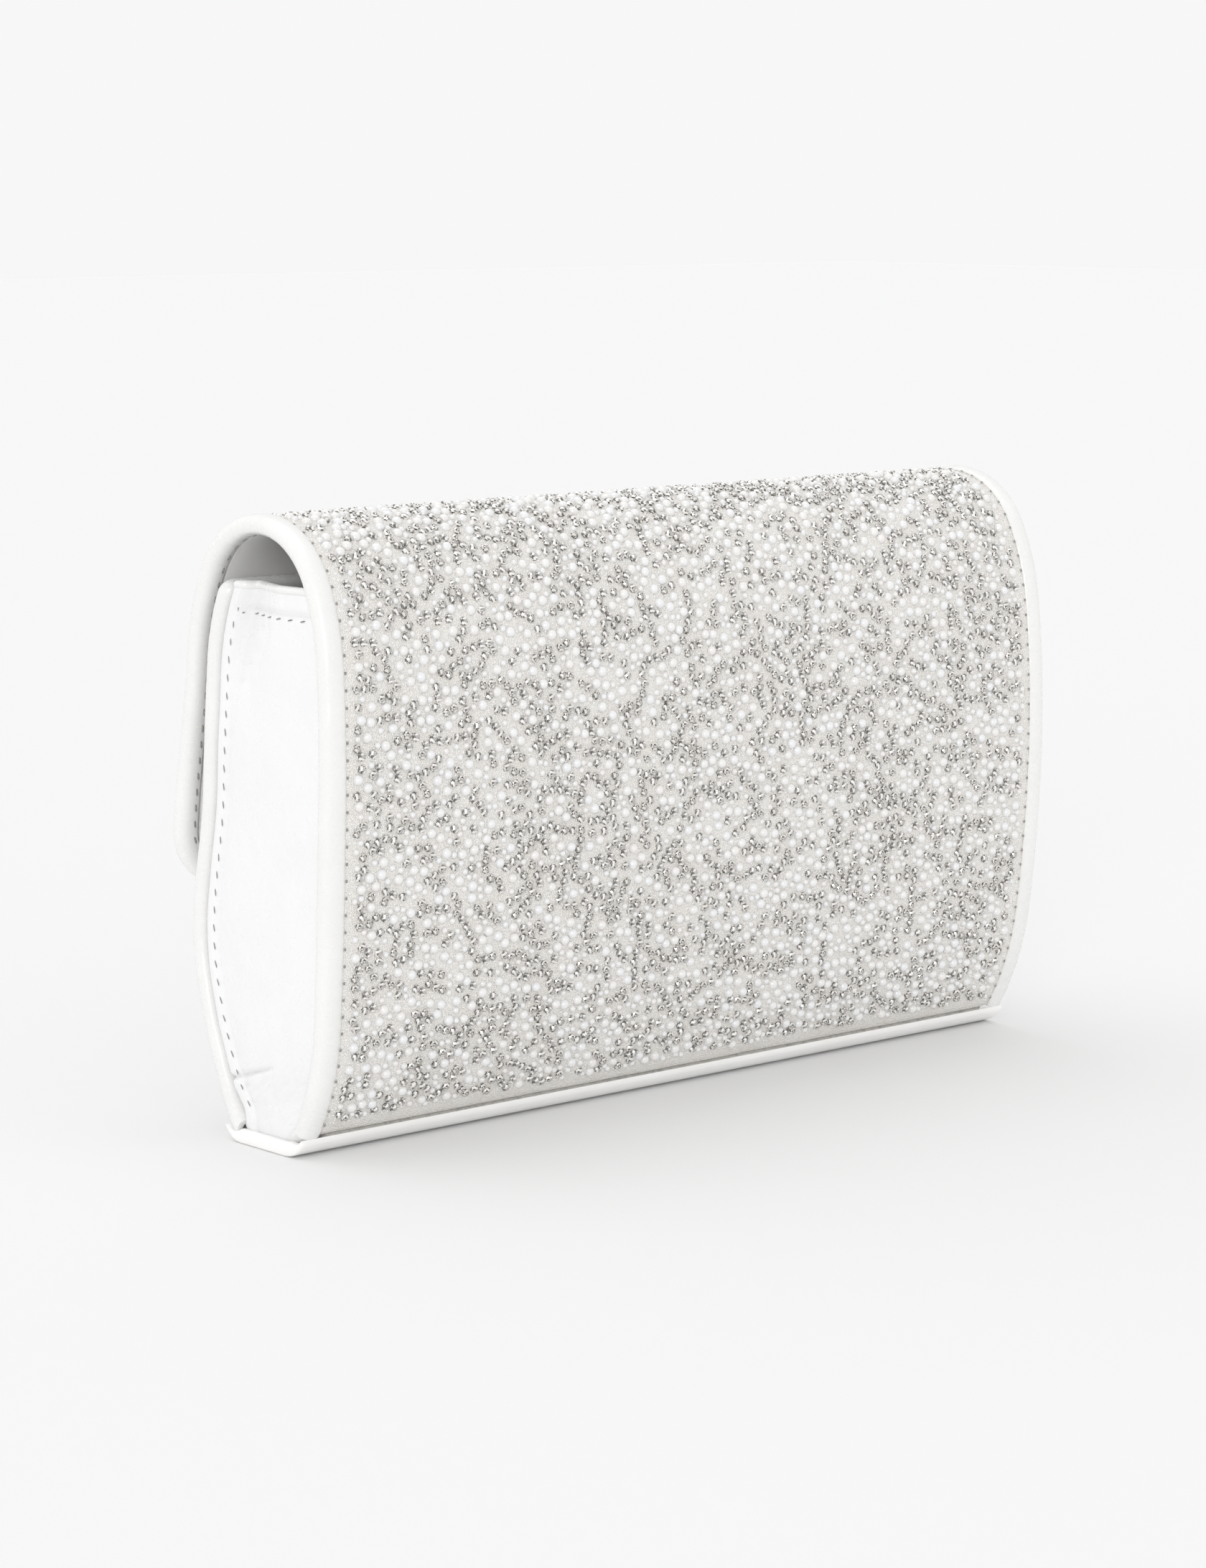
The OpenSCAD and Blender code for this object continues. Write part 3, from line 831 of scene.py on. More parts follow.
@dataclass
class SmallPart:
    """A low, closed small part turned about its axis, of radius 1 and standing on the surface."""

    name: str
    rings: Sequence[tuple[float, float, float]]
    sides: int
    faceted: bool = False

    def object(self, finish: Finish) -> bpy.types.Object:
        """Make the part as an object that the trees repeat.

        Args:
            finish: its finish.

        Returns:
            The object, linked to the scene.
        """
        points, faces = [], []
        for radius, height, turn in self.rings:
            for k in range(self.sides):
                a = 2 * math.pi * (k + turn) / self.sides
                points.append((radius * math.cos(a), radius * math.sin(a), height))
        n = self.sides
        faces.append(tuple(range(n - 1, -1, -1)))
        for i in range(len(self.rings) - 1):
            split = abs(self.rings[i][2] - self.rings[i + 1][2]) > 0.1
            for k in range(n):
                a, b = i * n + k, i * n + (k + 1) % n
                c, d = a + n, b + n
                if not split:
                    faces.append((a, b, d, c))
                elif self.rings[i + 1][2] > self.rings[i][2]:
                    faces += [(a, b, c), (b, d, c)]
                else:
                    faces += [(a, b, d), (a, d, c)]
        top = (len(self.rings) - 1) * n
        faces.append(tuple(top + k for k in range(n)))
        mesh = bpy.data.meshes.new(self.name)
        mesh.from_pydata(points, [], faces)
        mesh.polygons.foreach_set("use_smooth", [not self.faceted] * len(mesh.polygons))
        if self.faceted:
            # Each facet gets a random value that the rhinestone finish turns into painted dark or flashing
            # reflection.
            draw = random.Random(7)
            cut = mesh.attributes.new("cut", "FLOAT", "FACE")
            cut.data.foreach_set("value", [draw.random() for _ in mesh.polygons])
        mesh.materials.append(finish.material())
        return link_object(self.name, mesh)


def dome(name: str, sides: int, levels: int, height: float) -> SmallPart:
    """Return a half pearl, bead or stitch: a dome with a closed foot.

    Args:
        name: the part's name.
        sides: how many sides it has.
        levels: how many rings make the dome.
        height: its height over its radius.

    Returns:
        The part.
    """
    rings = [(0.94, -0.12, 0.0)]
    for k in range(levels):
        a = math.radians(4 + 80 * k / (levels - 1))
        rings.append((math.cos(a), height * math.sin(a), 0.0))
    return SmallPart(name, rings, sides)


class Spread:
    """A geometry tree that sets small parts on points or along a line and ends in a plain mesh."""

    INPUTS = (("Part", "NodeSocketObject"), ("Finish", "NodeSocketMaterial"), ("Size", "NodeSocketFloat"),
              ("Tilt", "NodeSocketFloat"), ("Turn", "NodeSocketFloat"), ("Seed", "NodeSocketInt"))

    def __init__(self, name: str, extra: Sequence[tuple[str, str]] = ()) -> None:
        """Start the tree.

        Args:
            name: the tree's name.
            extra: more (name, socket type) inputs.
        """
        self.tree = bpy.data.node_groups.new(name, "GeometryNodeTree")
        self.tree.is_modifier = True
        self.tree.interface.new_socket(name="Geometry", in_out="INPUT", socket_type="NodeSocketGeometry")
        for label, kind in (*self.INPUTS, *extra):
            self.tree.interface.new_socket(name=label, in_out="INPUT", socket_type=kind)
        self.tree.interface.new_socket(name="Geometry", in_out="OUTPUT", socket_type="NodeSocketGeometry")
        self.nodes = Nodes(self.tree)
        self.given = self.nodes.add("NodeGroupInput").outputs

    def attribute(self, name: str, kind: str) -> bpy.types.NodeSocket:
        """Return a named attribute of the points."""
        node = self.nodes.add("GeometryNodeInputNamedAttribute", {"Name": name}, data_type=kind)
        return node.outputs["Attribute"]

    def chance(self, low: object, high: object) -> bpy.types.NodeSocket:
        """Return a random number between two for each point."""
        inputs = {2: low, 3: high, "Seed": self.given["Seed"]}
        return self.nodes.add("FunctionNodeRandomValue", inputs, data_type="FLOAT").outputs[1]

    def product(self, one: object, other: object) -> bpy.types.NodeSocket:
        """Multiply two numbers."""
        return self.nodes.add("ShaderNodeMath", {0: one, 1: other}, operation="MULTIPLY").outputs[0]

    def about(self, axis: tuple, angle: object) -> bpy.types.NodeSocket:
        """Return a rotation by an angle about an axis."""
        return self.nodes.add("FunctionNodeAxisAngleToRotation", {"Axis": axis, "Angle": angle}).outputs[0]

    def turned(self, first: object, then: object) -> bpy.types.NodeSocket:
        """Return a rotation turned by another one in its own axes."""
        node = self.nodes.add("FunctionNodeRotateRotation", {0: first, 1: then}, rotation_space="LOCAL")
        return node.outputs[0]

    def close(self, points: bpy.types.NodeSocket, facing: bpy.types.NodeSocket,
              scale: bpy.types.NodeSocket) -> None:
        """Set the part on the points, tint each one and finish the tree.

        Args:
            points: the points.
            facing: rotation of each part.
            scale: size of each part.
        """
        n, given = self.nodes, self.given
        part = n.add("GeometryNodeObjectInfo", {"Object": given["Part"], "As Instance": True})
        placed = n.add("GeometryNodeInstanceOnPoints", {
            "Points": points, "Instance": part.outputs["Geometry"], "Rotation": facing, "Scale": scale})
        tinted = n.add("GeometryNodeStoreNamedAttribute", {
            "Geometry": placed.outputs[0], "Name": "tint", "Value": self.chance(0.0, 1.0)},
            data_type="FLOAT", domain="INSTANCE")
        real = n.add("GeometryNodeRealizeInstances", {"Geometry": tinted.outputs[0]})
        dressed = n.add("GeometryNodeSetMaterial", {"Geometry": real.outputs[0], "Material": given["Finish"]})
        n.add("NodeGroupOutput", {"Geometry": dressed.outputs[0]})

    def apply(self, host: bpy.types.Object, name: str, part: SmallPart, finish: Finish,
              **values: object) -> bpy.types.Object:
        """Run the tree on a host and leave the result as the host's own plain mesh.

        Args:
            host: object whose mesh holds the points or the line.
            name: the finished piece's name.
            part: what is repeated.
            finish: its finish.
            values: the tree's inputs by name, in metres or radians.

        Returns:
            The host, now the finished piece.
        """
        item = part.object(finish)
        values = {"Part": item, "Finish": finish.material(), **values}
        modifier = host.modifiers.new("spread", "NODES")
        modifier.node_group = self.tree
        for socket in self.tree.interface.items_tree:
            if socket.in_out == "INPUT" and socket.name in values:
                modifier[socket.identifier] = values[socket.name]
        ready = bpy.context.evaluated_depsgraph_get()
        mesh = bpy.data.meshes.new_from_object(host.evaluated_get(ready))
        mesh.name = host.name = name
        host.modifiers.clear()
        host.data = mesh
        bpy.data.objects.remove(item)
        return host


class ScatterTree(Spread):
    """Sets a part on every point, facing out, with a random turn and a slight tilt."""

    def __init__(self) -> None:
        """Build the tree."""
        super().__init__("scatter")
        n, given = self.nodes, self.given
        facing = n.add("FunctionNodeAlignRotationToVector", {"Vector": self.attribute("out", "FLOAT_VECTOR")},
                       axis="Z")
        spin = self.about((0, 0, 1), self.chance(0.0, given["Turn"]))
        lean = self.about((1, 0, 0), self.chance(self.product(given["Tilt"], -1.0), given["Tilt"]))
        size = self.product(self.attribute("size", "FLOAT"), given["Size"])
        self.close(given["Geometry"], self.turned(self.turned(facing.outputs[0], lean), spin), size)


class SowTree(Spread):
    """Sows beads over a sheet, apart from each other and clear of the stones already on it."""

    def __init__(self) -> None:
        """Build the tree."""
        super().__init__("sow", (("Stones", "NodeSocketObject"), ("Apart", "NodeSocketFloat"),
                                 ("Clear", "NodeSocketFloat"), ("Density", "NodeSocketFloat")))
        n, given = self.nodes, self.given
        sown = n.add("GeometryNodeDistributePointsOnFaces", {
            "Mesh": given["Geometry"], "Distance Min": given["Apart"], "Density Max": given["Density"],
            "Density Factor": 1.0, "Seed": given["Seed"]}, distribute_method="POISSON")
        stones = n.add("GeometryNodeObjectInfo", {"Object": given["Stones"]})
        near = n.add("GeometryNodeProximity", {"Geometry": stones.outputs["Geometry"]},
                     target_element="POINTS")
        close = n.add("FunctionNodeCompare", {0: near.outputs["Distance"], 1: given["Clear"]},
                      operation="LESS_THAN")
        kept = n.add("GeometryNodeDeleteGeometry", {"Geometry": sown.outputs["Points"],
                                                    "Selection": close.outputs[0]}, domain="POINT")
        scale = self.product(self.chance(0.7, 1.15), given["Size"])
        self.close(kept.outputs[0], sown.outputs["Rotation"], scale)


class StitchTree(Spread):
    """Sews stitches along a line at an even pitch."""

    def __init__(self) -> None:
        """Build the tree."""
        super().__init__("sew", (("Pitch", "NodeSocketFloat"), ("Length", "NodeSocketFloat")))
        n, given = self.nodes, self.given
        curve = n.add("GeometryNodeMeshToCurve", {"Mesh": given["Geometry"]})
        even = n.add("GeometryNodeResampleCurve", {"Curve": curve.outputs[0], "Length": given["Pitch"]},
                     mode="LENGTH")
        tangent = n.add("GeometryNodeInputTangent")
        facing = n.add("FunctionNodeAxesToRotation", {
            0: self.attribute("out", "FLOAT_VECTOR"), 1: tangent.outputs[0]},
            primary_axis="Z", secondary_axis="X")
        turned = self.turned(facing.outputs[0], self.about((0, 0, 1), given["Turn"]))
        scale = n.add("ShaderNodeCombineXYZ", {0: given["Length"], 1: given["Size"], 2: given["Size"]})
        self.close(even.outputs[0], turned, scale.outputs[0])


def keep_outward(mesh: bpy.types.Mesh, out: np.ndarray) -> None:
    """Keep each point's outward direction on the mesh."""
    layer = mesh.attributes.new("out", "FLOAT_VECTOR", "POINT")
    layer.data.foreach_set("vector", out.astype(np.float32).ravel())


def point_host(points: np.ndarray, out: np.ndarray, size: np.ndarray) -> bpy.types.Object:
    """Make an object whose vertices are the places of small parts.

    Args:
        points: (n, 3) places in millimetres.
        out: (n, 3) outward directions.
        size: (n,) sizes over the usual one.

    Returns:
        The object.
    """
    mesh = bpy.data.meshes.new("places")
    mesh.from_pydata((points * MM).tolist(), [], [])
    keep_outward(mesh, out)
    sizes = mesh.attributes.new("size", "FLOAT", "POINT")
    sizes.data.foreach_set("value", size.astype(np.float32))
    return link_object("places", mesh)


def line_host(lines: Sequence[tuple[np.ndarray, np.ndarray]]) -> bpy.types.Object:
    """Make an object of open lines for stitches to follow.

    Args:
        lines: for each line its (n, 3) points in millimetres and its (n, 3) outward directions.

    Returns:
        The object.
    """
    points = np.vstack([line for line, _ in lines])
    out = np.vstack([facing for _, facing in lines])
    edges, start = [], 0
    for line, _ in lines:
        edges += [(start + k, start + k + 1) for k in range(len(line) - 1)]
        start += len(line)
    mesh = bpy.data.meshes.new("line")
    mesh.from_pydata((points * MM).tolist(), edges, [])
    keep_outward(mesh, out)
    return link_object("line", mesh)


# Baking the wrap's pieces in place and hiding the frame's nodes -----------------------------------------


@dataclass
class Folds:
    """Where the pieces of the wrap would follow the two fold lines at the ends of the soft top; they are only
    baked in place.
    """

    shape: BagShape
    reach: float = 10.0

    def bend(self, piece: bpy.types.Object, stretch: Stretch) -> bpy.types.Object:
        """Bake a piece's transform into its mesh; it is not bent.

        Args:
            piece: a finished piece.
            stretch: the half of the wrap it belongs to; not used.

        Returns:
            The piece.
        """
        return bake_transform(piece)


def give(piece: bpy.types.Object, slot: str, *nodes: str) -> bpy.types.Object:
    """Hide the frame's nodes that a piece stands for, and return the piece."""
    if nodes:
        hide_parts(*nodes)
    return piece


# Pieces ---------------------------------------------------------------------------------------------


@dataclass
class EdgeRoll:
    """Leather folded round an edge of a wall into a soft roll."""

    section: Sequence[tuple[float, float]] = (
        (4.6, 0.55), (4.3, 0.15), (3.5, -0.28), (2.2, -0.45), (0.8, -0.28), (-0.2, 0.25), (-0.72, 1.1),
        (-0.85, 2.0), (-0.7, 2.95), (-0.1, 3.7), (0.9, 4.15), (2.0, 4.28), (3.0, 4.15), (3.7, 3.98),
        (3.8, 3.7), (3.4, 3.25), (2.6, 3.0), (1.35, 2.85), (1.05, 2.0), (1.35, 1.15), (2.8, 0.95),
        (4.2, 0.85))
    pinch: float = 0.07
    pitch: float = 3.7

    def make(self, name: str, wall: Wall, line: np.ndarray, normal: np.ndarray) -> bpy.types.Object:
        """Sweep the roll along a line on a wall.

        Args:
            name: the piece's name.
            wall: the wall.
            line: (n, 2) x and v of the wall's edge.
            normal: (n, 2) directions out of the edge, in the wall.

        Returns:
            The roll.
        """
        loop = rounded_line(np.array(self.section), True, 1)
        gone = np.concatenate([[0], np.cumsum(np.linalg.norm(np.diff(line, axis=0), axis=1))])
        waves = np.cos(2 * math.pi * gone / self.pitch)[:, None]
        edge, depth = loop[None, :, 0], loop[None, :, 1]
        near_seam = np.exp(-((edge - 3.9) / 0.9) ** 2) * np.where(depth < 2, 1.0, 0.4)
        depth = depth + self.pinch * waves * near_seam * np.where(depth < 2, 1.0, -1.0)
        x = line[:, 0, None] - edge * normal[:, 0, None]
        v = line[:, 1, None] - edge * normal[:, 1, None]
        points = wall.point(x, v, np.broadcast_to(depth, x.shape))
        points = points + 0.10 * ripple(points, 9.0)[..., None] + 0.04 * ripple(points, 2.2)[..., None]
        rows, cols = points.shape[:2]
        faces = grid_faces(rows, cols, around=True)
        faces += [tuple(range(cols)), tuple((rows - 1) * cols + k for k in range(cols - 1, -1, -1))]
        uv = np.stack(np.broadcast_arrays(gone[:, None], np.linspace(0, 20, cols)[None, :]), -1)
        return make_piece(name, points, faces, ROLLED_LEATHER, uv, 70.0)


@dataclass
class StoneLayout:
    """Where the stones sit: chains of rhinestones with half pearls packed between them.

    Places are x and v in millimetres over the whole wrap, laid out once and split between its halves.

    Attributes:
        stone: radius of a rhinestone.
        large: radius of a large half pearl.
        small: radius of a small one.
        stones: most rhinestones.
        larges: most large half pearls.
        smalls: most small ones.
        margin: how far the stones stay from the edges.
        foot: how far up the back they start.
        seed: seed of the layout.
        cell: size of the squares that neighbours are looked up in.
        first_share: share of the large pearls that are laid before the chains.
        later_share: share that is laid after them.
        chains: lengths that a chain may have, in stones.
        chain_bend: how much a chain turns at each stone, in radians.
        chain_gap: widest spacing in a chain, over a stone's width.
        few_tries: how often a place is tried while there is room.
        many_tries: how often it is tried once the cover is nearly full.
    """

    shape: BagShape
    stone: float = 1.04
    large: float = 1.24
    small: float = 0.83
    stones: int = 4400
    larges: int = 1700
    smalls: int = 2500
    margin: float = 6.3
    foot: float = 2.8
    seed: int = 20
    cell: float = 2.6
    first_share: float = 0.55
    later_share: float = 0.45
    chains: Sequence[int] = (1, 2, 3, 4, 5, 6, 8)
    chain_bend: float = 0.55
    chain_gap: float = 1.12
    few_tries: int = 9000
    many_tries: int = 60000
    placed: list = field(default_factory=list)
    cells: dict = field(default_factory=dict)

    def free(self, x: float, v: float, r: float, slack: float = 0.0) -> bool:
        """Return whether a round part fits at a place.

        Args:
            x: place along the bag.
            v: place along the wrap.
            r: its radius.
            slack: how far it may overlap a neighbour.

        Returns:
            True where it fits.
        """
        if v < self.foot + r or abs(x) > self.limit(v) - r:
            return False
        i, j = self.cell_of(x, v)
        for a in (i - 1, i, i + 1):
            for b in (j - 1, j, j + 1):
                for px, pv, pr in self.cells.get((a, b), ()):
                    if (px - x) ** 2 + (pv - v) ** 2 < (pr + r - slack) ** 2:
                        return False
        return True

    def limit(self, v: float) -> float:
        """Return half the width that the stones may cover at v."""
        s = self.shape
        w, r, low = s.half - self.margin, s.corner - self.margin, s.wrap_end - self.margin
        if v > low:
            return -1.0
        into = max(0.0, v - (low - r))
        return w - r + math.sqrt(max(0.0, r * r - into * into))

    def cell_of(self, x: float, v: float) -> tuple[int, int]:
        """Return the cell of the search grid that a place is in."""
        return int(x // self.cell), int(v // self.cell)

    def put(self, x: float, v: float, r: float, kind: str) -> None:
        """Keep a part at a place."""
        self.cells.setdefault(self.cell_of(x, v), []).append((x, v, r))
        self.placed.append((kind, x, v, r))

    def lay(self) -> "StoneLayout":
        """Lay out all the stones."""
        draw = random.Random(self.seed)
        s = self.shape

        def anywhere() -> tuple[float, float]:
            """Draw a place on the wrap."""
            return draw.uniform(-s.half, s.half), draw.uniform(0, s.wrap_end)

        def fill(count: int, radius: float, kind: str, tries: int) -> None:
            """Put up to a count of parts of one kind where they fit."""
            done = 0
            for _ in range(tries):
                x, v = anywhere()
                r = radius * draw.uniform(0.95, 1.05)
                if self.free(x, v, r, 0.04):
                    self.put(x, v, r, kind)
                    done += 1
                    if done >= count:
                        return

        fill(int(self.larges * self.first_share), self.large, "large", self.few_tries)
        laid = 0
        for _ in range(self.few_tries):
            if laid >= self.stones:
                break
            x, v = anywhere()
            way = draw.uniform(0, 2 * math.pi)
            for _ in range(draw.choice(self.chains)):
                if laid >= self.stones or not self.free(x, v, self.stone, 0.03):
                    break
                self.put(x, v, self.stone, "stone")
                laid += 1
                way += draw.gauss(0, self.chain_bend)
                step = 2 * self.stone * draw.uniform(1.0, self.chain_gap)
                x, v = x + step * math.cos(way), v + step * math.sin(way)
        fill(int(self.larges * self.later_share), self.large, "large", self.many_tries)
        fill(self.smalls, self.small, "small", self.many_tries)
        return self

    def of(self, kind: str, stretch: Stretch) -> np.ndarray:
        """Return the (n, 3) x, v and radius of one kind on one half of the wrap."""
        back = stretch is Stretch.BACK
        return np.array([(x, v, r) for k, x, v, r in self.placed
                         if k == kind and (v < self.shape.crest) == back])


@dataclass
class BeadedWrap:
    """The beaded cover that runs up the back, over the top and down the flap, with its edges rolled.

    Attributes:
        tuck: how far the rolls cover the ground.
        ground: depth of the beaded ground's outer face.
        thickness: thickness of the ground.
        step: spacing of the points of a layer.
        bead: size of a seed bead.
        bead_apart: least distance between two seed beads.
        bead_clear: least distance from a seed bead to the middle of a stone.
        beads_per_metre: most seed beads in a row a metre long.
        board: depths of the boards' two faces.
        board_inset: how far the boards stop short of the edges.
        board_gap: how far they stop short of the fold lines.
        foam: depths of the foam's two faces.
        foam_inset: how far the foam stops short of the edges.
        foam_gap: how far it stops short of the fold lines.
        foam_plump: how much thicker it is in its middle, on each face.
        lining_inset: how far the linings stop short of the edges.
        lining: depths of the flap lining's two faces.
        arch_lining: the same under the arch.
        arch_lining_reach: how far that lining reaches down the back.
        outer_seam: depth and inset of the seam outside.
        inner_seam: the same inside.
        inner_seam_reach: how far the inside seam reaches down the back.
        seam_pitch: from one stitch to the next.
    """

    shape: BagShape
    folds: Folds
    tuck: float = 4.0
    ground: float = 0.6
    thickness: float = 0.55
    step: float = 1.6
    bead: float = 0.27
    bead_apart: float = 0.85
    bead_clear: float = 1.05
    beads_per_metre: float = 2000.0
    board: tuple[float, float] = (1.22, 2.95)
    board_inset: float = 1.2
    board_gap: float = 0.4
    foam: tuple[float, float] = (1.5, 2.6)
    foam_inset: float = 1.3
    foam_gap: float = 0.3
    foam_plump: float = 0.25
    lining_inset: float = 4.2
    lining: tuple[float, float] = (4.0, 3.2)
    arch_lining: tuple[float, float] = (4.05, 3.2)
    arch_lining_reach: float = 22.0
    outer_seam: tuple[float, float] = (0.3, 4.85)
    inner_seam: tuple[float, float] = (4.26, 2.7)
    inner_seam_reach: float = 14.0
    seam_pitch: float = 3.7

    def ranges(self, stretch: Stretch, low: float, less: float) -> tuple[float, float]:
        """Return where a layer of one half starts and ends along the wrap."""
        s = self.shape
        return (low, s.crest) if stretch is Stretch.BACK else (s.crest, s.wrap_end - less)

    def layer(self, name: str, stretch: Stretch, less: float, low: float, top: float, bottom: float,
              finish: Finish, puff: float = 0.0) -> bpy.types.Object:
        """Make one layer of the wrap as a closed sheet.

        Args:
            name: the piece's name.
            stretch: which half.
            less: inset from the edges.
            low: where the back half starts.
            top: depth of its outer face.
            bottom: depth of its inner face.
            finish: its finish.
            puff: height of soft unevenness on the outer face.

        Returns:
            The sheet, riding on nothing yet.
        """
        start, end = self.ranges(stretch, low, less)
        v = spaced(start, end, self.step)
        if stretch is Stretch.FLAP:
            turn = self.shape.wrap_end - self.shape.corner
            round_end = end - (end - turn) * (1 - np.sin(np.linspace(0, math.pi / 2, 12)))
            v = np.concatenate([spaced(start, turn - 0.5, self.step), round_end])
        across = spaced(-1, 1, 2 * self.step / (2 * self.shape.half))
        x = across[None, :] * self.shape.flap_half_width(v, less)[:, None]
        vv = np.broadcast_to(v[:, None], x.shape)
        outer = self.shape.wrap.point(x, vv, np.full_like(x, top))
        if puff:
            outward = self.shape.wrap.profile.outward(v)[:, None, :]
            outer = outer + (puff * ripple(outer, 14.0))[..., None] * outward
        inner = self.shape.wrap.point(x, vv, np.full_like(x, bottom))
        return closed_sheet(name, outer, inner, finish, np.stack([x, vv], -1))

    def covers(self) -> dict[Stretch, bpy.types.Object]:
        """Make the beaded ground of both halves."""
        made = {}
        for stretch, node in ((Stretch.BACK, "back_cover"), (Stretch.FLAP, "flap_cover")):
            cover = self.layer(f"{stretch.value}_beaded_cover", stretch, self.tuck, 0.2, self.ground,
                               self.ground + self.thickness, GROUND, 0.12)
            made[stretch] = give(cover, "beaded", node, "top_cover")
        return made

    def stones(self, layout: StoneLayout) -> None:
        """Set the stones and sow the beads on both halves.

        Args:
            layout: where the stones sit.
        """
        wrap, scatter, sow = self.shape.wrap, ScatterTree(), SowTree()
        facets = ((0.9, -0.12, 0.0), (1.0, 0.32, 0.0), (0.80, 0.66, 0.5), (0.42, 0.90, 0.0))
        cut = SmallPart("cut_stone", facets, 8, True)
        kinds = (("stone", "rhinestones", cut, STONE, 0.10),
                 ("large", "large_pearls", dome("large_pearl", 12, 4, 0.95), PEARL, 0.05),
                 ("small", "small_pearls", dome("small_pearl", 9, 3, 0.95), PEARL, 0.05))
        for stretch in Stretch:
            every = []
            for number, (kind, label, part, finish, tilt) in enumerate(kinds):
                place = layout.of(kind, stretch)
                points = wrap.point(place[:, 0], place[:, 1], np.full(len(place), self.ground))
                every.append(points)
                host = point_host(points, wrap.profile.outward(place[:, 1]), place[:, 2])
                piece = scatter.apply(host, f"{stretch.value}_{label}", part, finish, Size=MM, Tilt=tilt,
                                      Turn=2 * math.pi, Seed=number + 3)
                self.folds.bend(give(piece, "beaded"), stretch)
                LOG.info("%s: %d", piece.name, len(place))
            self.beads(sow, stretch, np.vstack(every))

    def beads(self, sow: SowTree, stretch: Stretch, taken: np.ndarray) -> None:
        """Sow seed beads on the ground between the stones.

        Args:
            sow: the sowing tree.
            stretch: which half.
            taken: (n, 3) places of the stones.
        """
        count = len(taken)
        stones = point_host(taken, np.zeros((count, 3)), np.ones(count))
        start, end = self.ranges(stretch, 3.0, 5.0)
        v = spaced(start, end, 3.0)
        across = spaced(-1, 1, 0.03)
        x = across[None, :] * self.shape.flap_half_width(v, 5.4)[:, None]
        points = self.shape.wrap.point(x, np.broadcast_to(v[:, None], x.shape), np.full_like(x, self.ground))
        host = make_piece("sown", points, grid_faces(*x.shape), BEAD)
        bead = SmallPart("seed_bead", ((0.95, -0.25, 0.0), (0.66, 0.72, 0.0)), 5)
        piece = sow.apply(host, f"{stretch.value}_seed_beads", bead, BEAD, Size=self.bead * MM,
                          Seed=11, Stones=stones, Apart=self.bead_apart * MM,
                          Clear=self.bead_clear * MM, Density=self.beads_per_metre ** 2)
        bpy.data.objects.remove(stones)
        self.folds.bend(give(piece, "beaded"), stretch)

    def rolls(self) -> None:
        """Make the rolled edges of both halves."""
        s, roll = self.shape, EdgeRoll()
        v = spaced(0.1, s.crest, 0.8)
        for side in Side:
            end = side.value
            line = np.stack([np.full_like(v, end * s.half), v], 1)
            normal = np.stack([np.full_like(v, float(end)), np.zeros_like(v)], 1)
            name = side.name.lower()
            piece = roll.make(f"back_edge_roll_{name}", s.wrap, line, normal)
            give(piece, "leather", f"back_binding_{name}", f"top_binding_{name}")
            self.folds.bend(piece, Stretch.BACK)
        line, normal = self.flap_edge(0.0, s.crest)
        piece = roll.make("flap_edge_roll", s.wrap, line, normal)
        give(piece, "leather", "flap_binding", "top_binding_left", "top_binding_right")
        self.folds.bend(piece, Stretch.FLAP)

    def flap_edge(self, less: float, start: float) -> tuple[np.ndarray, np.ndarray]:
        """Return the line down one end of the flap, round its foot and up the other end.

        Args:
            less: inset from the edge.
            start: where it leaves and comes back, along the wrap.

        Returns:
            (n, 2) x and v, and (n, 2) directions out of the edge.
        """
        s = self.shape
        return rim_line(s.half - less, s.corner - less, start, s.wrap_end - less, 0.8, 28)

    def sewing(self) -> None:
        """Sew the rolls to the ground and the lining."""
        s, sew = self.shape, StitchTree()
        stitch = dome("stitch", 6, 2, 0.7)
        v = spaced(3.0, s.crest, 1.0)
        outside, inside = [], []
        for side in Side:
            for (depth, less), rows, way in ((self.outer_seam, outside, 1), (self.inner_seam, inside, -1)):
                keep = v if way > 0 else v[v > s.back_end - self.inner_seam_reach]
                x = np.full_like(keep, side.value * (s.half - less))
                points = s.wrap.point(x, keep, np.full_like(keep, depth))
                rows.append((points, way * s.wrap.profile.outward(keep)))
        holes = sew.apply(line_host(outside), "back_roll_stitches", stitch, THREAD, Size=0.3 * MM,
                          Length=0.4 * MM, Pitch=self.seam_pitch * MM, Turn=0.0, Seed=1)
        self.folds.bend(give(holes, "leather"), Stretch.BACK)
        rows = sew.apply(line_host(inside), "arch_lining_stitches", stitch, THREAD, Size=0.26 * MM,
                         Length=0.95 * MM, Pitch=3.6 * MM, Turn=0.15, Seed=2)
        self.folds.bend(give(rows, "leather"), Stretch.BACK)
        for name, (depth, less), way, length in (("flap_roll_stitches", self.outer_seam, 1, 0.46),
                                                 ("flap_lining_stitches", self.inner_seam, -1, 0.95)):
            line, _ = self.flap_edge(less, s.crest + 0.5)
            points = s.wrap.point(line[:, 0], line[:, 1], np.full(len(line), depth))
            host = line_host([(points, way * s.wrap.profile.outward(line[:, 1]))])
            piece = sew.apply(host, name, stitch, THREAD, Size=0.3 * MM, Length=length * MM,
                              Pitch=self.seam_pitch * MM, Turn=0.1, Seed=3)
            self.folds.bend(give(piece, "leather"), Stretch.FLAP)

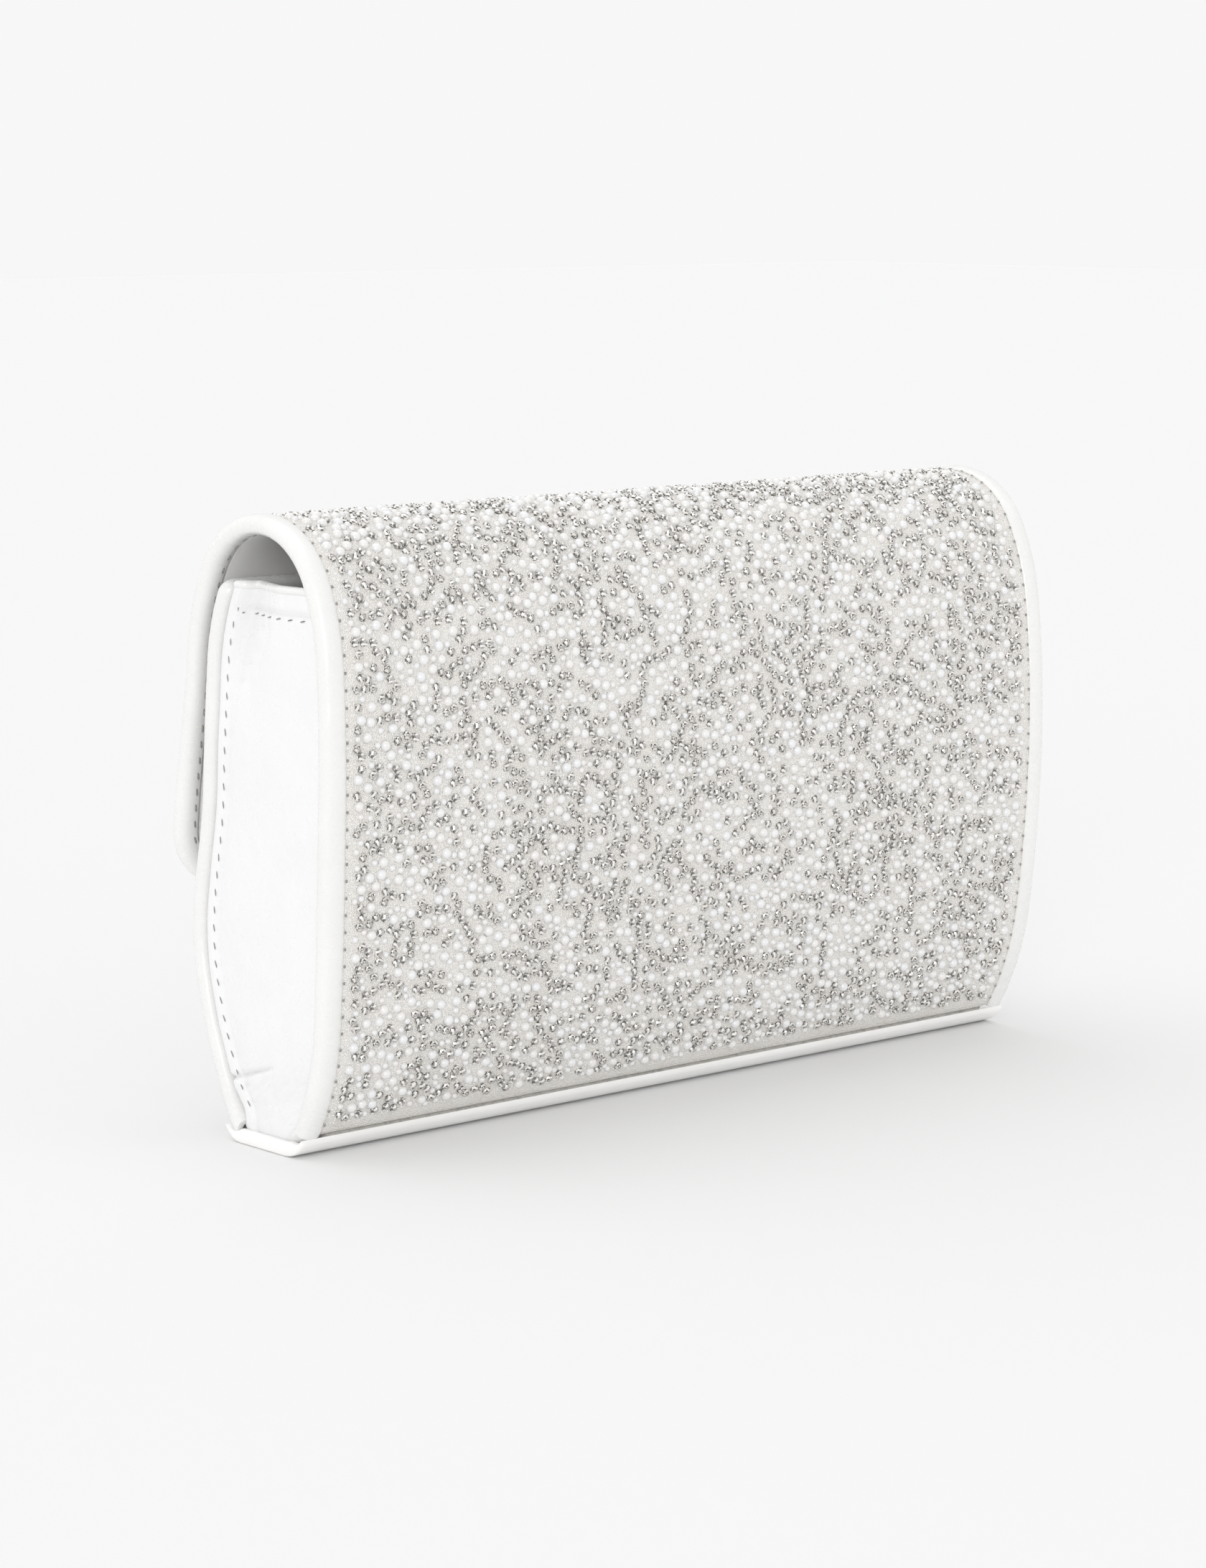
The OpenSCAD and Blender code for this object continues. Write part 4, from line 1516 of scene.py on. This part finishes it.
    def inner_layers(self) -> None:
        """Make the boards, the foam of the soft top and the leather lining of the wrap."""
        s = self.shape
        gap, inset = self.board_gap, self.board_inset
        self.plain_layer("back_stiffener", gap, s.back_end - gap, inset, *self.board, BOARD, "board",
                         "bag_body", "back_board")
        self.plain_layer("flap_stiffener", s.arch_end + gap, None, inset, *self.board, BOARD, "board",
                         "flap", "flap_board")
        halves = ((Stretch.BACK, s.back_end + self.foam_gap, s.crest),
                  (Stretch.FLAP, s.crest, s.arch_end - self.foam_gap))
        for stretch, start, end in halves:
            v = spaced(start, end, 1.2)
            x = spaced(-(s.half - self.foam_inset), s.half - self.foam_inset, 4.0)
            xx, vv = np.meshgrid(x, v)
            plump = self.foam_plump * np.sin(np.linspace(0, math.pi, len(v)))[:, None] * np.ones_like(xx)
            outer = s.wrap.point(xx, vv, self.foam[0] - plump)
            inner = s.wrap.point(xx, vv, self.foam[1] + plump)
            piece = closed_sheet(f"{stretch.value}_top_foam", outer, inner, FOAM, np.stack([xx, vv], -1))
            self.folds.bend(give(piece, "padding", "top_padding"), stretch)
        start = s.back_end - self.arch_lining_reach
        # The linings under the arch take the lighter leather: painted light against the shade inside the
        # arch.
        facing = self.layer("arch_lining", Stretch.BACK, self.lining_inset, start, *self.arch_lining,
                            LIGHTENED_LEATHER)
        self.folds.bend(give(facing, "leather", "top_lining"), Stretch.BACK)
        lining = self.layer("flap_leather_lining", Stretch.FLAP, self.lining_inset, 0.0, *self.lining,
                            LIGHTENED_LEATHER)
        self.folds.bend(give(lining, "leather", "flap_lining", "top_lining"), Stretch.FLAP)

    def plain_layer(self, name: str, start: float, end: Optional[float], less: float, top: float,
                    bottom: float, finish: Finish, slot: str, body: str, node: str) -> None:
        """Make a board that rides on one body.

        Args:
            name: the piece's name.
            start: where it starts along the wrap.
            end: where it ends, or None at the foot of the flap.
            less: inset from the edges.
            top: depth of its outer face.
            bottom: depth of its inner face.
            finish: its finish.
            slot: its material slot; not used.
            body: the body it rides on.
            node: the node it stands for.
        """
        s = self.shape
        v = spaced(start, s.wrap_end - less if end is None else end, 1.5)
        across = spaced(-1, 1, 0.03)
        width = s.flap_half_width(v, less) if end is None else np.full_like(v, s.half - less)
        x = across[None, :] * width[:, None]
        vv = np.broadcast_to(v[:, None], x.shape)
        piece = closed_sheet(name, s.wrap.point(x, vv, np.full_like(x, top)),
                             s.wrap.point(x, vv, np.full_like(x, bottom)), finish, np.stack([x, vv], -1))
        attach(give(piece, slot, node), body)

    def build(self) -> None:
        """Make every piece of the wrap."""
        covers = self.covers()
        layout = StoneLayout(self.shape).lay()
        self.stones(layout)
        for stretch, cover in covers.items():
            self.folds.bend(cover, stretch)
        self.rolls()
        self.sewing()
        self.inner_layers()


@dataclass
class BodyShell:
    """The front wall, the base and the linings of the compartment."""

    shape: BagShape
    length: float
    strip: float = 1.0
    lip_height: float = 2.4
    pocket_half: float = 62.0
    pocket_foot: float = 28.0
    pocket_height: float = 44.0
    pocket_gap: float = 1.2
    front_corner: float = 3.0
    roll_foot: float = 3.5

    def sheet(self, name: str, x: np.ndarray, v: np.ndarray, top: np.ndarray, bottom: np.ndarray,
              finish: Finish, slot: str, *nodes: str) -> bpy.types.Object:
        """Make a closed sheet on the body's wall, riding on the body.

        Args:
            name: the piece's name.
            x: places along the bag.
            v: places along the wall.
            top: depth of the outer face, by row and column or one number.
            bottom: depth of the inner face.
            finish: its finish.
            slot: its material slot; not used.
            nodes: the nodes it stands for.

        Returns:
            The sheet.
        """
        xx, vv = np.meshgrid(x, v)
        ones = np.ones_like(xx)
        wall = self.shape.body
        piece = closed_sheet(name, wall.point(xx, vv, ones * top), wall.point(xx, vv, ones * bottom), finish,
                             np.stack([xx, vv], -1))
        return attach(give(piece, slot, *nodes), "bag_body")

    def front(self) -> None:
        """Make the leather front wall with its rolled edge and its board."""
        s = self.shape
        x, v = spaced(-(s.half - 2.2), s.half - 2.2, 2.0), spaced(2.2, s.front_end - 0.3, 1.5)
        xx, vv = np.meshgrid(x, v)
        wave = 0.10 * sheet_ripple(xx, vv, 16.0)
        self.sheet("front_leather", x, v, 0.02 + wave, 1.0, LEATHER, "leather", "front_cover")
        x, v = spaced(-(s.half - 1.4), s.half - 1.4, 5.0), spaced(1.6, s.front_end - 0.3, 2.0)
        self.sheet("front_stiffener", x, v, 1.15, 2.9, BOARD, "board", "front_board")
        roll = EdgeRoll(section=(
            (4.6, 0.3), (4.3, 0.05), (3.4, -0.05), (2.2, -0.15), (0.9, 0.0), (0.1, 0.45), (-0.3, 1.2),
            (-0.4, 2.0), (-0.3, 2.8), (0.1, 3.5), (1.0, 3.95), (2.4, 4.1), (3.7, 4.1), (4.4, 4.0),
            (4.5, 3.6), (4.2, 3.2), (2.8, 3.0), (1.35, 2.85), (1.05, 2.0), (1.35, 1.15), (2.8, 1.0),
            (4.3, 0.8)), pinch=0.03)
        foot = s.front_end + self.roll_foot
        line, normal = rim_line(s.half, self.front_corner, foot, 0.0, 1.0, 10)
        piece = roll.make("front_edge_roll", s.body, line, normal)
        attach(give(piece, "leather", "front_cover"), "bag_body")

    def base(self) -> None:
        """Make the strip under the base, with a folded lip past each end."""
        s = self.shape
        v = spaced(s.front_end - 0.4, s.base_end + 0.2, 0.7)
        end = self.length / 2
        near = np.array([0, 0.25, 0.55, 0.9, 1.5, 2.4, 3.4, 4.2])
        x = np.concatenate([-end + near, spaced(-end + 6, end - 6, 3.0), (end - near)[::-1]])
        xx, vv = np.meshgrid(x, v)
        gone = end - np.abs(xx)
        folded = 1 - smooth((gone - 1.6) / 2.0)
        rounding = 1 - np.sqrt(np.clip(1 - (1 - np.clip(gone / 0.9, 0, 1)) ** 2, 0, 1))
        flat = smooth((vv - s.front_end) / 6) * smooth((s.base_end - vv) / 6)
        side = np.minimum(vv - v[0], v[-1] - vv)
        edge = 1 - np.sqrt(np.clip(1 - (1 - np.clip(side / 0.7, 0, 1)) ** 2, 0, 1))
        top = -self.strip + 0.5 * np.maximum(rounding, edge)
        bottom = -0.05 + folded * flat * self.lip_height * (1 - 0.4 * rounding) - 0.3 * edge
        wave = 0.05 * sheet_ripple(xx, vv, 7.0) * (1 - flat)
        inside = spaced(-(s.half - 7.0), s.half - 7.0, 6.0)
        along = spaced(s.front_end + 0.5, s.base_end - 0.5, 1.5)
        self.sheet("base_stiffener", inside, along, 0.1, 2.9, BOARD, "board", "base_board")
        # The base strip takes the lighter leather: painted light against the shade beside the floor.
        self.sheet("base_leather", x, v, top + wave, np.maximum(bottom, top + 0.15), LIGHTENED_LEATHER,
                   "leather", "base_strip")

    def linings(self) -> None:
        """Make the compartment's lining and the slip pocket with its trim."""
        s = self.shape
        v = spaced(2.6, s.base_end + s.back_end - 3.0, 2.0)
        x = spaced(-(s.half - 4.7), s.half - 4.7, 3.0)
        xx, vv = np.meshgrid(x, v)
        wave = 0.05 * sheet_ripple(xx, vv, 12.0)
        self.sheet("compartment_lining", x, v, 3.05, 3.9 + wave, SATIN, "satin", "body_lining")
        start = s.base_end + self.pocket_foot
        v = spaced(start, start + self.pocket_height, 1.2)
        x = spaced(-self.pocket_half, self.pocket_half, 1.6)
        xx, vv = np.meshgrid(x, v)
        sides = smooth((self.pocket_half - np.abs(xx)) / 4.0)
        slack = (0.25 + 0.75 * smooth((vv - start) / 12.0)) * smooth((vv - start) / 2.5)
        rise = 4.0 + self.pocket_gap * sides * slack * (1 + 0.35 * sheet_ripple(xx, vv, 22.0))
        self.sheet("slip_pocket_cloth", x, v, rise, rise + 0.55, SATIN, "satin", "slip_pocket")
        rim = slice(-5, None)
        self.sheet("slip_pocket_trim", x, v[rim], rise[rim] + 0.56, rise[rim] + 1.2, LEATHER, "leather",
                   "pocket_trim")

    def build(self) -> None:
        """Make every piece of the shell."""
        self.front()
        self.base()
        self.linings()


@dataclass
class GussetEnd:
    """One folded leather end: a flange against the walls, a full panel and a hemmed top.

    Attributes:
        flange: width of the flange at the front.
        top: height of the hem.
        foot: height of the lower edge.
        fold_depth: how far the panel is folded in at the top.
        fold_top: place of the fold line near the top, from front to back.
        fold_lean: how far that line moves back with each millimetre up.
        crease_at: height of the crease near the base.
        crease_lean: how steeply the crease rises towards the back.
        crease_depth: how deep it is.
        crease_width: how wide it is.
        lining_face: depth of the lining's face.
        lining_cloth: thickness of the lining.
        leather: thickness of the leather.
        hem_seam: how far the hem's stitches lie below its edge.
        rows: points up the panel.
        cols: points across it.
    """

    shape: BagShape
    side: Side
    flange: float = 4.4
    top: float = 125.0
    foot: float = 2.3
    fold_depth: float = 4.0
    fold_top: float = 8.4
    fold_lean: float = 0.33
    crease_at: float = 11.0
    crease_lean: float = 0.30
    crease_depth: float = 1.1
    crease_width: float = 0.55
    lining_face: float = 7.05
    lining_cloth: float = 0.85
    leather: float = 1.0
    hem_seam: float = 6.2
    rows: int = 230
    cols: int = 84

    def __post_init__(self) -> None:
        """Find the inner faces of the walls at this end."""
        s = self.shape
        middle = 0.5 * (s.front_end + s.base_end)
        x = np.array(self.side.value * (s.half - 3.0))
        front = np.linspace(0.0, middle, 500)
        back = np.linspace(middle, s.base_end + s.back_end, 700)

        def inside(v: np.ndarray) -> np.ndarray:
            """Return the depth of the inner face: thin along the base, full up the walls."""
            low = smooth((v - s.front_end + 3.0) / 9.0) * smooth((s.base_end + 3.0 - v) / 9.0)
            return 4.15 - 2.9 * low

        self.front_line = s.body.point(x, front, inside(front))[::-1]
        self.back_line = s.body.point(x, back, inside(back))

    def edges(self, z: np.ndarray) -> tuple[np.ndarray, np.ndarray]:
        """Return y of the front and back walls' inner faces at heights."""
        return (np.interp(z, self.front_line[:, 2], self.front_line[:, 1]),
                np.interp(z, self.back_line[:, 2], self.back_line[:, 1]))

    def sunk(self, y: np.ndarray, z: np.ndarray) -> np.ndarray:
        """Shape the gusset: a flange, a fold that rises to the top, a crease and a hem.

        Args:
            y: places from front to back.
            z: heights.

        Returns:
            How far the face lies in from the end of the walls.
        """
        front, back = self.edges(z)
        ahead, behind = y - front, back - y
        share = np.clip(ahead / (back - front), 0, 1)
        panel = 1.7 - 1.15 * np.sin(math.pi * share) ** 0.7
        fold = self.fold_top + self.fold_lean * (z - 124.0)
        rise = smooth((z - 92.0) / 30.0)
        left = np.clip((ahead - self.flange) / np.maximum(fold - front - self.flange, 0.5), 0, 1)
        panel = panel + self.fold_depth * rise * (1 - left)
        q = np.clip(ahead / self.flange, 0, 1)
        roll = 0.3 + np.where(q < 0.5, 1.9, 0.75) * np.abs(2 * q - 1) ** 3.0
        past = np.exp(-np.clip(ahead - self.flange, 0, None) / 0.9)
        groove = 1.05 + 0.9 * rise
        roll = roll + (groove - 1.05) * q ** 6
        face = np.where(ahead < self.flange, roll, panel + (groove - panel) * past)
        face = face + 1.3 * np.exp(-behind / 0.8)
        crease = self.crease_at + self.crease_lean * (y + 22.0)
        sharp = np.exp(-((z - crease) / self.crease_width) ** 2)
        sharp = self.crease_depth * sharp * smooth((6.0 - y) / 8.0)
        tuck = 0.9 * smooth((crease - z) / 9.0)
        face = face + sharp + tuck
        groove_line = 0.45 * np.exp(-((z - (self.top - 5.0)) / 0.5) ** 2)
        seam = groove_line - 0.45 * smooth((z - (self.top - 4.9)) / 0.7)
        return face + seam * smooth((ahead - 2.0) / 2.0)

    def creased(self, y: np.ndarray, z: np.ndarray) -> np.ndarray:
        """Work out the small creases and ripples of the soft leather.

        Args:
            y: places from front to back.
            z: heights.

        Returns:
            How much further in the face lies.
        """
        s = float(self.side.value)
        spot = np.stack([y, z * 0.6, np.full_like(y, 3.0 * s)], -1)
        slant = np.stack([(y + z * 0.8) * 0.5, (z - y) * 1.6, np.full_like(y, 5.0 * s)], -1)
        low = smooth((30.0 - z) / 22.0)
        front, _ = self.edges(z)
        inside = smooth((y - front - self.flange) / 3.0)
        broad = 0.16 * ripple(spot, 7.0)
        fine = 0.05 * ripple(spot, 1.9, 7.0) * inside
        ridges = 0.30 * (0.5 - np.abs(ripple(slant, 4.2, 2.0))) * low
        veins = 0.10 * (0.35 - np.abs(ripple(spot, 5.0, 11.0))) * inside
        return broad + fine + ridges + veins

    def panel(self) -> None:
        """Make the gusset and its lining as closed sheets."""
        s, end = self.shape, self.side.value
        t = np.linspace(0, 1, self.rows)
        z = self.foot + (self.top - self.foot) * (0.6 * t + 0.4 * t * t)
        share = np.linspace(0, 1, self.cols)
        share = np.where(share < 0.35, share * 0.75, 0.2625 + (share - 0.35) * (0.7375 / 0.65))
        front, back = self.edges(z)
        zz = np.broadcast_to(z[:, None], (self.rows, self.cols))
        yy = front[:, None] + share[None, :] * (back - front)[:, None]
        sunk = self.sunk(yy, zz)
        face = sunk + self.creased(yy, zz)
        uv = np.stack([yy, zz], -1)
        outer = np.stack([end * (s.half - face), yy, zz], -1)
        inner = np.stack([end * (s.half - sunk - self.leather), yy, zz], -1)
        name = self.side.name.lower()
        piece = closed_sheet(f"gusset_leather_{name}", outer, inner, LEATHER, uv, 65.0)
        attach(give(piece, "leather", f"gusset_{name}"), "bag_body")
        near = np.minimum(np.minimum(yy - front[:, None], back[:, None] - yy), 3.0 * (self.top - zz))
        near = np.minimum(near, zz - self.foot)
        flat = smooth(near / 9.0)
        hidden = (sunk + 1.1) * (1 - flat) + self.lining_face * flat
        cloth = hidden + self.lining_cloth
        outer = np.stack([end * (s.half - hidden), yy, zz], -1)
        inner = np.stack([end * (s.half - cloth), yy, zz], -1)
        coarse = slice(None, None, 2), slice(None, None, 2)
        piece = closed_sheet(f"gusset_satin_{name}", outer[coarse], inner[coarse], SATIN, uv[coarse], 65.0)
        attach(give(piece, "satin", f"gusset_lining_{name}"), "bag_body")

    def trims(self) -> None:
        """Make the rolled hem, and sew the flange and the hem."""
        s, end, name = self.shape, self.side.value, self.side.name.lower()
        front, back = self.edges(np.array(self.top))
        y = np.linspace(float(front) + 1.2, float(back) - 0.6, 60)
        z = np.full_like(y, self.top + 0.15)
        x = end * (s.half - self.sunk(y, z - 0.3) - 0.55)
        line = np.stack([x, y, z], 1)
        lead = np.array([[line[0, 0] - end * 2.2, line[0, 1] + 1.6, line[0, 2] - 0.1],
                         [line[0, 0] - end * 0.8, line[0, 1] - 0.1, line[0, 2]]])
        line = spread_along(rounded_line(np.vstack([lead, line]), False, 2), 0.5)
        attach(give(tube(f"gusset_hem_roll_{name}", line, 1.0, 12, ROLLED_LEATHER), "leather"), "bag_body")
        z = np.linspace(self.top - 5.0, 9.0, 160)
        front, _ = self.edges(z)
        flange = self.surface_line(front + self.flange - 0.75, z)
        y = np.linspace(float(self.edges(np.array(120.0))[0]) + 4.0, 16.0, 60)
        hem = self.surface_line(y, np.full_like(y, self.top - self.hem_seam))
        sew = StitchTree()
        stitch = dome("stitch", 6, 2, 0.7)
        piece = sew.apply(line_host([flange, hem]), f"gusset_stitches_{name}", stitch, THREAD,
                          Size=0.2 * MM, Length=0.95 * MM, Pitch=4.0 * MM, Turn=0.22, Seed=4)
        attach(give(piece, "leather"), "bag_body")

    def surface_line(self, y: np.ndarray, z: np.ndarray) -> tuple[np.ndarray, np.ndarray]:
        """Return points just proud of the gusset's face, and their outward directions."""
        end = self.side.value
        x = end * (self.shape.half - self.sunk(y, z) - self.creased(y, z) + 0.08)
        return np.stack([x, y, z], 1), np.tile([float(end), 0.0, 0.0], (len(y), 1))

    def build(self) -> None:
        """Make every piece of the end."""
        self.panel()
        self.trims()


def tube(name: str, line: np.ndarray, radius: float, sides: int, finish: Finish) -> bpy.types.Object:
    """Make a closed round tube with rounded ends along a line.

    Args:
        name: the piece's name.
        line: (n, 3) points in millimetres.
        radius: its radius.
        sides: how many sides it has.
        finish: its finish.

    Returns:
        The tube.
    """
    way = np.gradient(line, axis=0)
    way /= np.linalg.norm(way, axis=1)[:, None]
    up = np.array([0.0, 0.0, 1.0])
    across = np.cross(way, up)
    across /= np.linalg.norm(across, axis=1)[:, None]
    over = np.cross(across, way)
    caps = [math.cos(a) for a in np.linspace(math.pi / 2, 0.2, 5)]
    reach = [1 - math.sin(a) for a in np.linspace(math.pi / 2, 0.2, 5)]
    caps = [radius * max(cap, 0.05) for cap in caps]
    rings = [(line[0] + way[0] * radius * (reach[k] - 1), across[0], over[0], caps[k])
             for k in range(len(caps))]
    rings += [(line[i], across[i], over[i], radius) for i in range(len(line))]
    rings += [(line[-1] - way[-1] * radius * (reach[k] - 1), across[-1], over[-1], caps[k])
              for k in range(len(caps) - 1, -1, -1)]
    angles = np.linspace(0, 2 * math.pi, sides, endpoint=False)
    points = np.array([centre + r * (math.cos(a) * u + math.sin(a) * w)
                       for centre, u, w, r in rings for a in angles])
    faces = grid_faces(len(rings), sides, around=True)
    faces += [tuple(range(sides)), tuple((len(rings) - 1) * sides + k for k in range(sides - 1, -1, -1))]
    uv = np.stack([np.repeat(np.arange(len(rings)), sides), np.tile(np.arange(sides), len(rings))], 1)
    return make_piece(name, points, faces, finish, uv, 75.0)


@dataclass
class Hardware:
    """The metal, magnet and leather parts kept as the frame has them, with their finishes."""

    nodes: dict
    finishes: dict = field(default_factory=lambda: {
        "snap_case": SILVER, "snap_plate": SILVER, "snap_plate_washer": SILVER, "snap_stud": SILVER,
        "snap_stud_washer": SILVER, "snap_magnet": MAGNET, "strap_ring_left": SILVER,
        "strap_ring_right": SILVER, "ring_tab_left": LIGHTENED_LEATHER, "ring_tab_right": LIGHTENED_LEATHER})

    def build(self) -> None:
        """Dress the kept nodes."""
        for name, finish in self.finishes.items():
            mesh = self.nodes[name].data
            mesh.materials.clear()
            mesh.materials.append(finish.material())


# Studio ---------------------------------------------------------------------------------------------


@dataclass
class Studio:
    """A pale floor, soft light and a long lens."""

    azimuth: float = 138.7
    elevation: float = 8.6
    distance: float = 0.966
    target: tuple = (0.0015, 0.00385, 0.0705)
    slide: tuple = (-0.00876, 0.00088)
    lens: float = 93.96
    paper: float = 0.93
    floor_tone: float = 0.86
    floor_reach: float = 6.0

    def axes(self) -> tuple[Vector, Vector, Vector]:
        """Return the directions back to the camera, to its right and up."""
        a, e = math.radians(self.azimuth), math.radians(self.elevation)
        back = Vector((math.sin(a) * math.cos(e), -math.cos(a) * math.cos(e), math.sin(e)))
        right = (-back).cross(Vector((0, 0, 1))).normalized()
        return back, right, right.cross(-back)

    def camera(self) -> None:
        """Set up the camera."""
        back, right, up = self.axes()
        data = bpy.data.cameras.new("camera")
        data.lens, data.sensor_width, data.clip_start, data.clip_end = self.lens, 36.0, 0.05, 50.0
        camera = link_object("camera", data)
        middle = Vector(self.target) + back * self.distance
        camera.location = middle + right * self.slide[0] + up * self.slide[1]
        camera.rotation_mode = "QUATERNION"
        camera.rotation_quaternion = (-back).to_track_quat("-Z", "Y")
        bpy.context.scene.camera = camera

    def floor(self) -> None:
        """Make the paper that the bag stands on."""
        mesh = bpy.data.meshes.new("floor")
        reach = self.floor_reach
        corners = [(-reach, -reach, 0), (reach, -reach, 0), (reach, reach, 0), (-reach, reach, 0)]
        mesh.from_pydata(corners, [], [(0, 1, 2, 3)])
        paper = bpy.data.materials.new("paper")
        paper.use_nodes = True
        paper.node_tree.nodes.clear()
        nodes = Nodes(paper.node_tree)
        shader = nodes.add("ShaderNodeBsdfPrincipled", {
            "Base Color": (self.floor_tone,) * 3 + (1,), "Roughness": 0.9, "Specular IOR Level": 0.0})
        nodes.add("ShaderNodeOutputMaterial", {"Surface": shader.outputs[0]})
        mesh.materials.append(paper)
        link_object("floor", mesh)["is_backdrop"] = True

    def sky(self) -> None:
        """Light everything softly, and keep what the camera sees beyond the floor plain."""
        world = bpy.data.worlds.new("studio")
        bpy.context.scene.world = world
        world.use_nodes = True
        world.node_tree.nodes.clear()
        nodes = Nodes(world.node_tree)
        way = nodes.add("ShaderNodeTexCoord").outputs["Generated"]
        toward = nodes.add("ShaderNodeVectorMath", {0: way, 1: tuple(Vector((0.5, -0.85, 0.2)).normalized())},
                           operation="DOT_PRODUCT")
        glow = nodes.ramp(toward.outputs["Value"], [(0.5, (0.88, 0.88, 0.88)), (0.92, (1.08, 1.08, 1.08))])
        lit = nodes.add("ShaderNodeBackground", {"Color": glow, "Strength": 1.0})
        plain = nodes.add("ShaderNodeBackground", {"Color": (self.paper,) * 3 + (1,), "Strength": 1.0})
        seen = nodes.add("ShaderNodeLightPath").outputs["Is Camera Ray"]
        mixed = nodes.add("ShaderNodeMixShader", {0: seen, 1: lit.outputs[0], 2: plain.outputs[0]})
        nodes.add("ShaderNodeOutputWorld", {"Surface": mixed.outputs[0]})

    def lamp(self, name: str, away: Vector, size: float, power: float) -> None:
        """Hang a soft lamp that faces the bag.

        Args:
            name: the lamp's name.
            away: where it hangs.
            size: its width as seen from the bag, in degrees.
            power: its power.
        """
        data = bpy.data.lights.new(name, "SUN")
        data.angle, data.energy = math.radians(size), power
        lamp = link_object(name, data)
        lamp.rotation_mode = "QUATERNION"
        lamp.rotation_quaternion = away.to_track_quat("Z", "Y")

    def build(self) -> None:
        """Set up the camera, the floor and the light."""
        back, right, _ = self.axes()
        up = Vector((0, 0, 1))
        self.camera()
        self.floor()
        self.sky()
        self.lamp("top", Vector((0.08, -0.12, 1.0)), 60.0, 0.42)
        self.lamp("front", back - right * 0.08 + up * 0.07, 26.0, 0.70)
        bpy.context.scene.view_settings.view_transform = "Standard"
        bpy.context.scene.view_settings.look = "None"


def main() -> None:
    """Build the bag and its studio."""
    logging.basicConfig(level=logging.INFO, format="%(message)s")
    strip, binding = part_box("base_strip"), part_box("back_binding_right")
    shape = BagShape(half=binding[1].x / MM)
    folds = Folds(shape)
    Studio().build()
    Hardware(frame["nodes"]).build()
    BeadedWrap(shape, folds).build()
    LOG.info("beaded wrap made")
    BodyShell(shape, length=2 * strip[1].x / MM).build()
    LOG.info("body shell made")
    for side in Side:
        GussetEnd(shape, side).build()
        LOG.info("gusset %s made", side.name.lower())
    for piece in sorted(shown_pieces(), key=lambda o: o.name):
        triangles = sum(len(p.vertices) - 2 for p in piece.data.polygons)
        LOG.info("%s: %d triangles", piece.name, triangles)


if __name__ == "__main__":
    main()
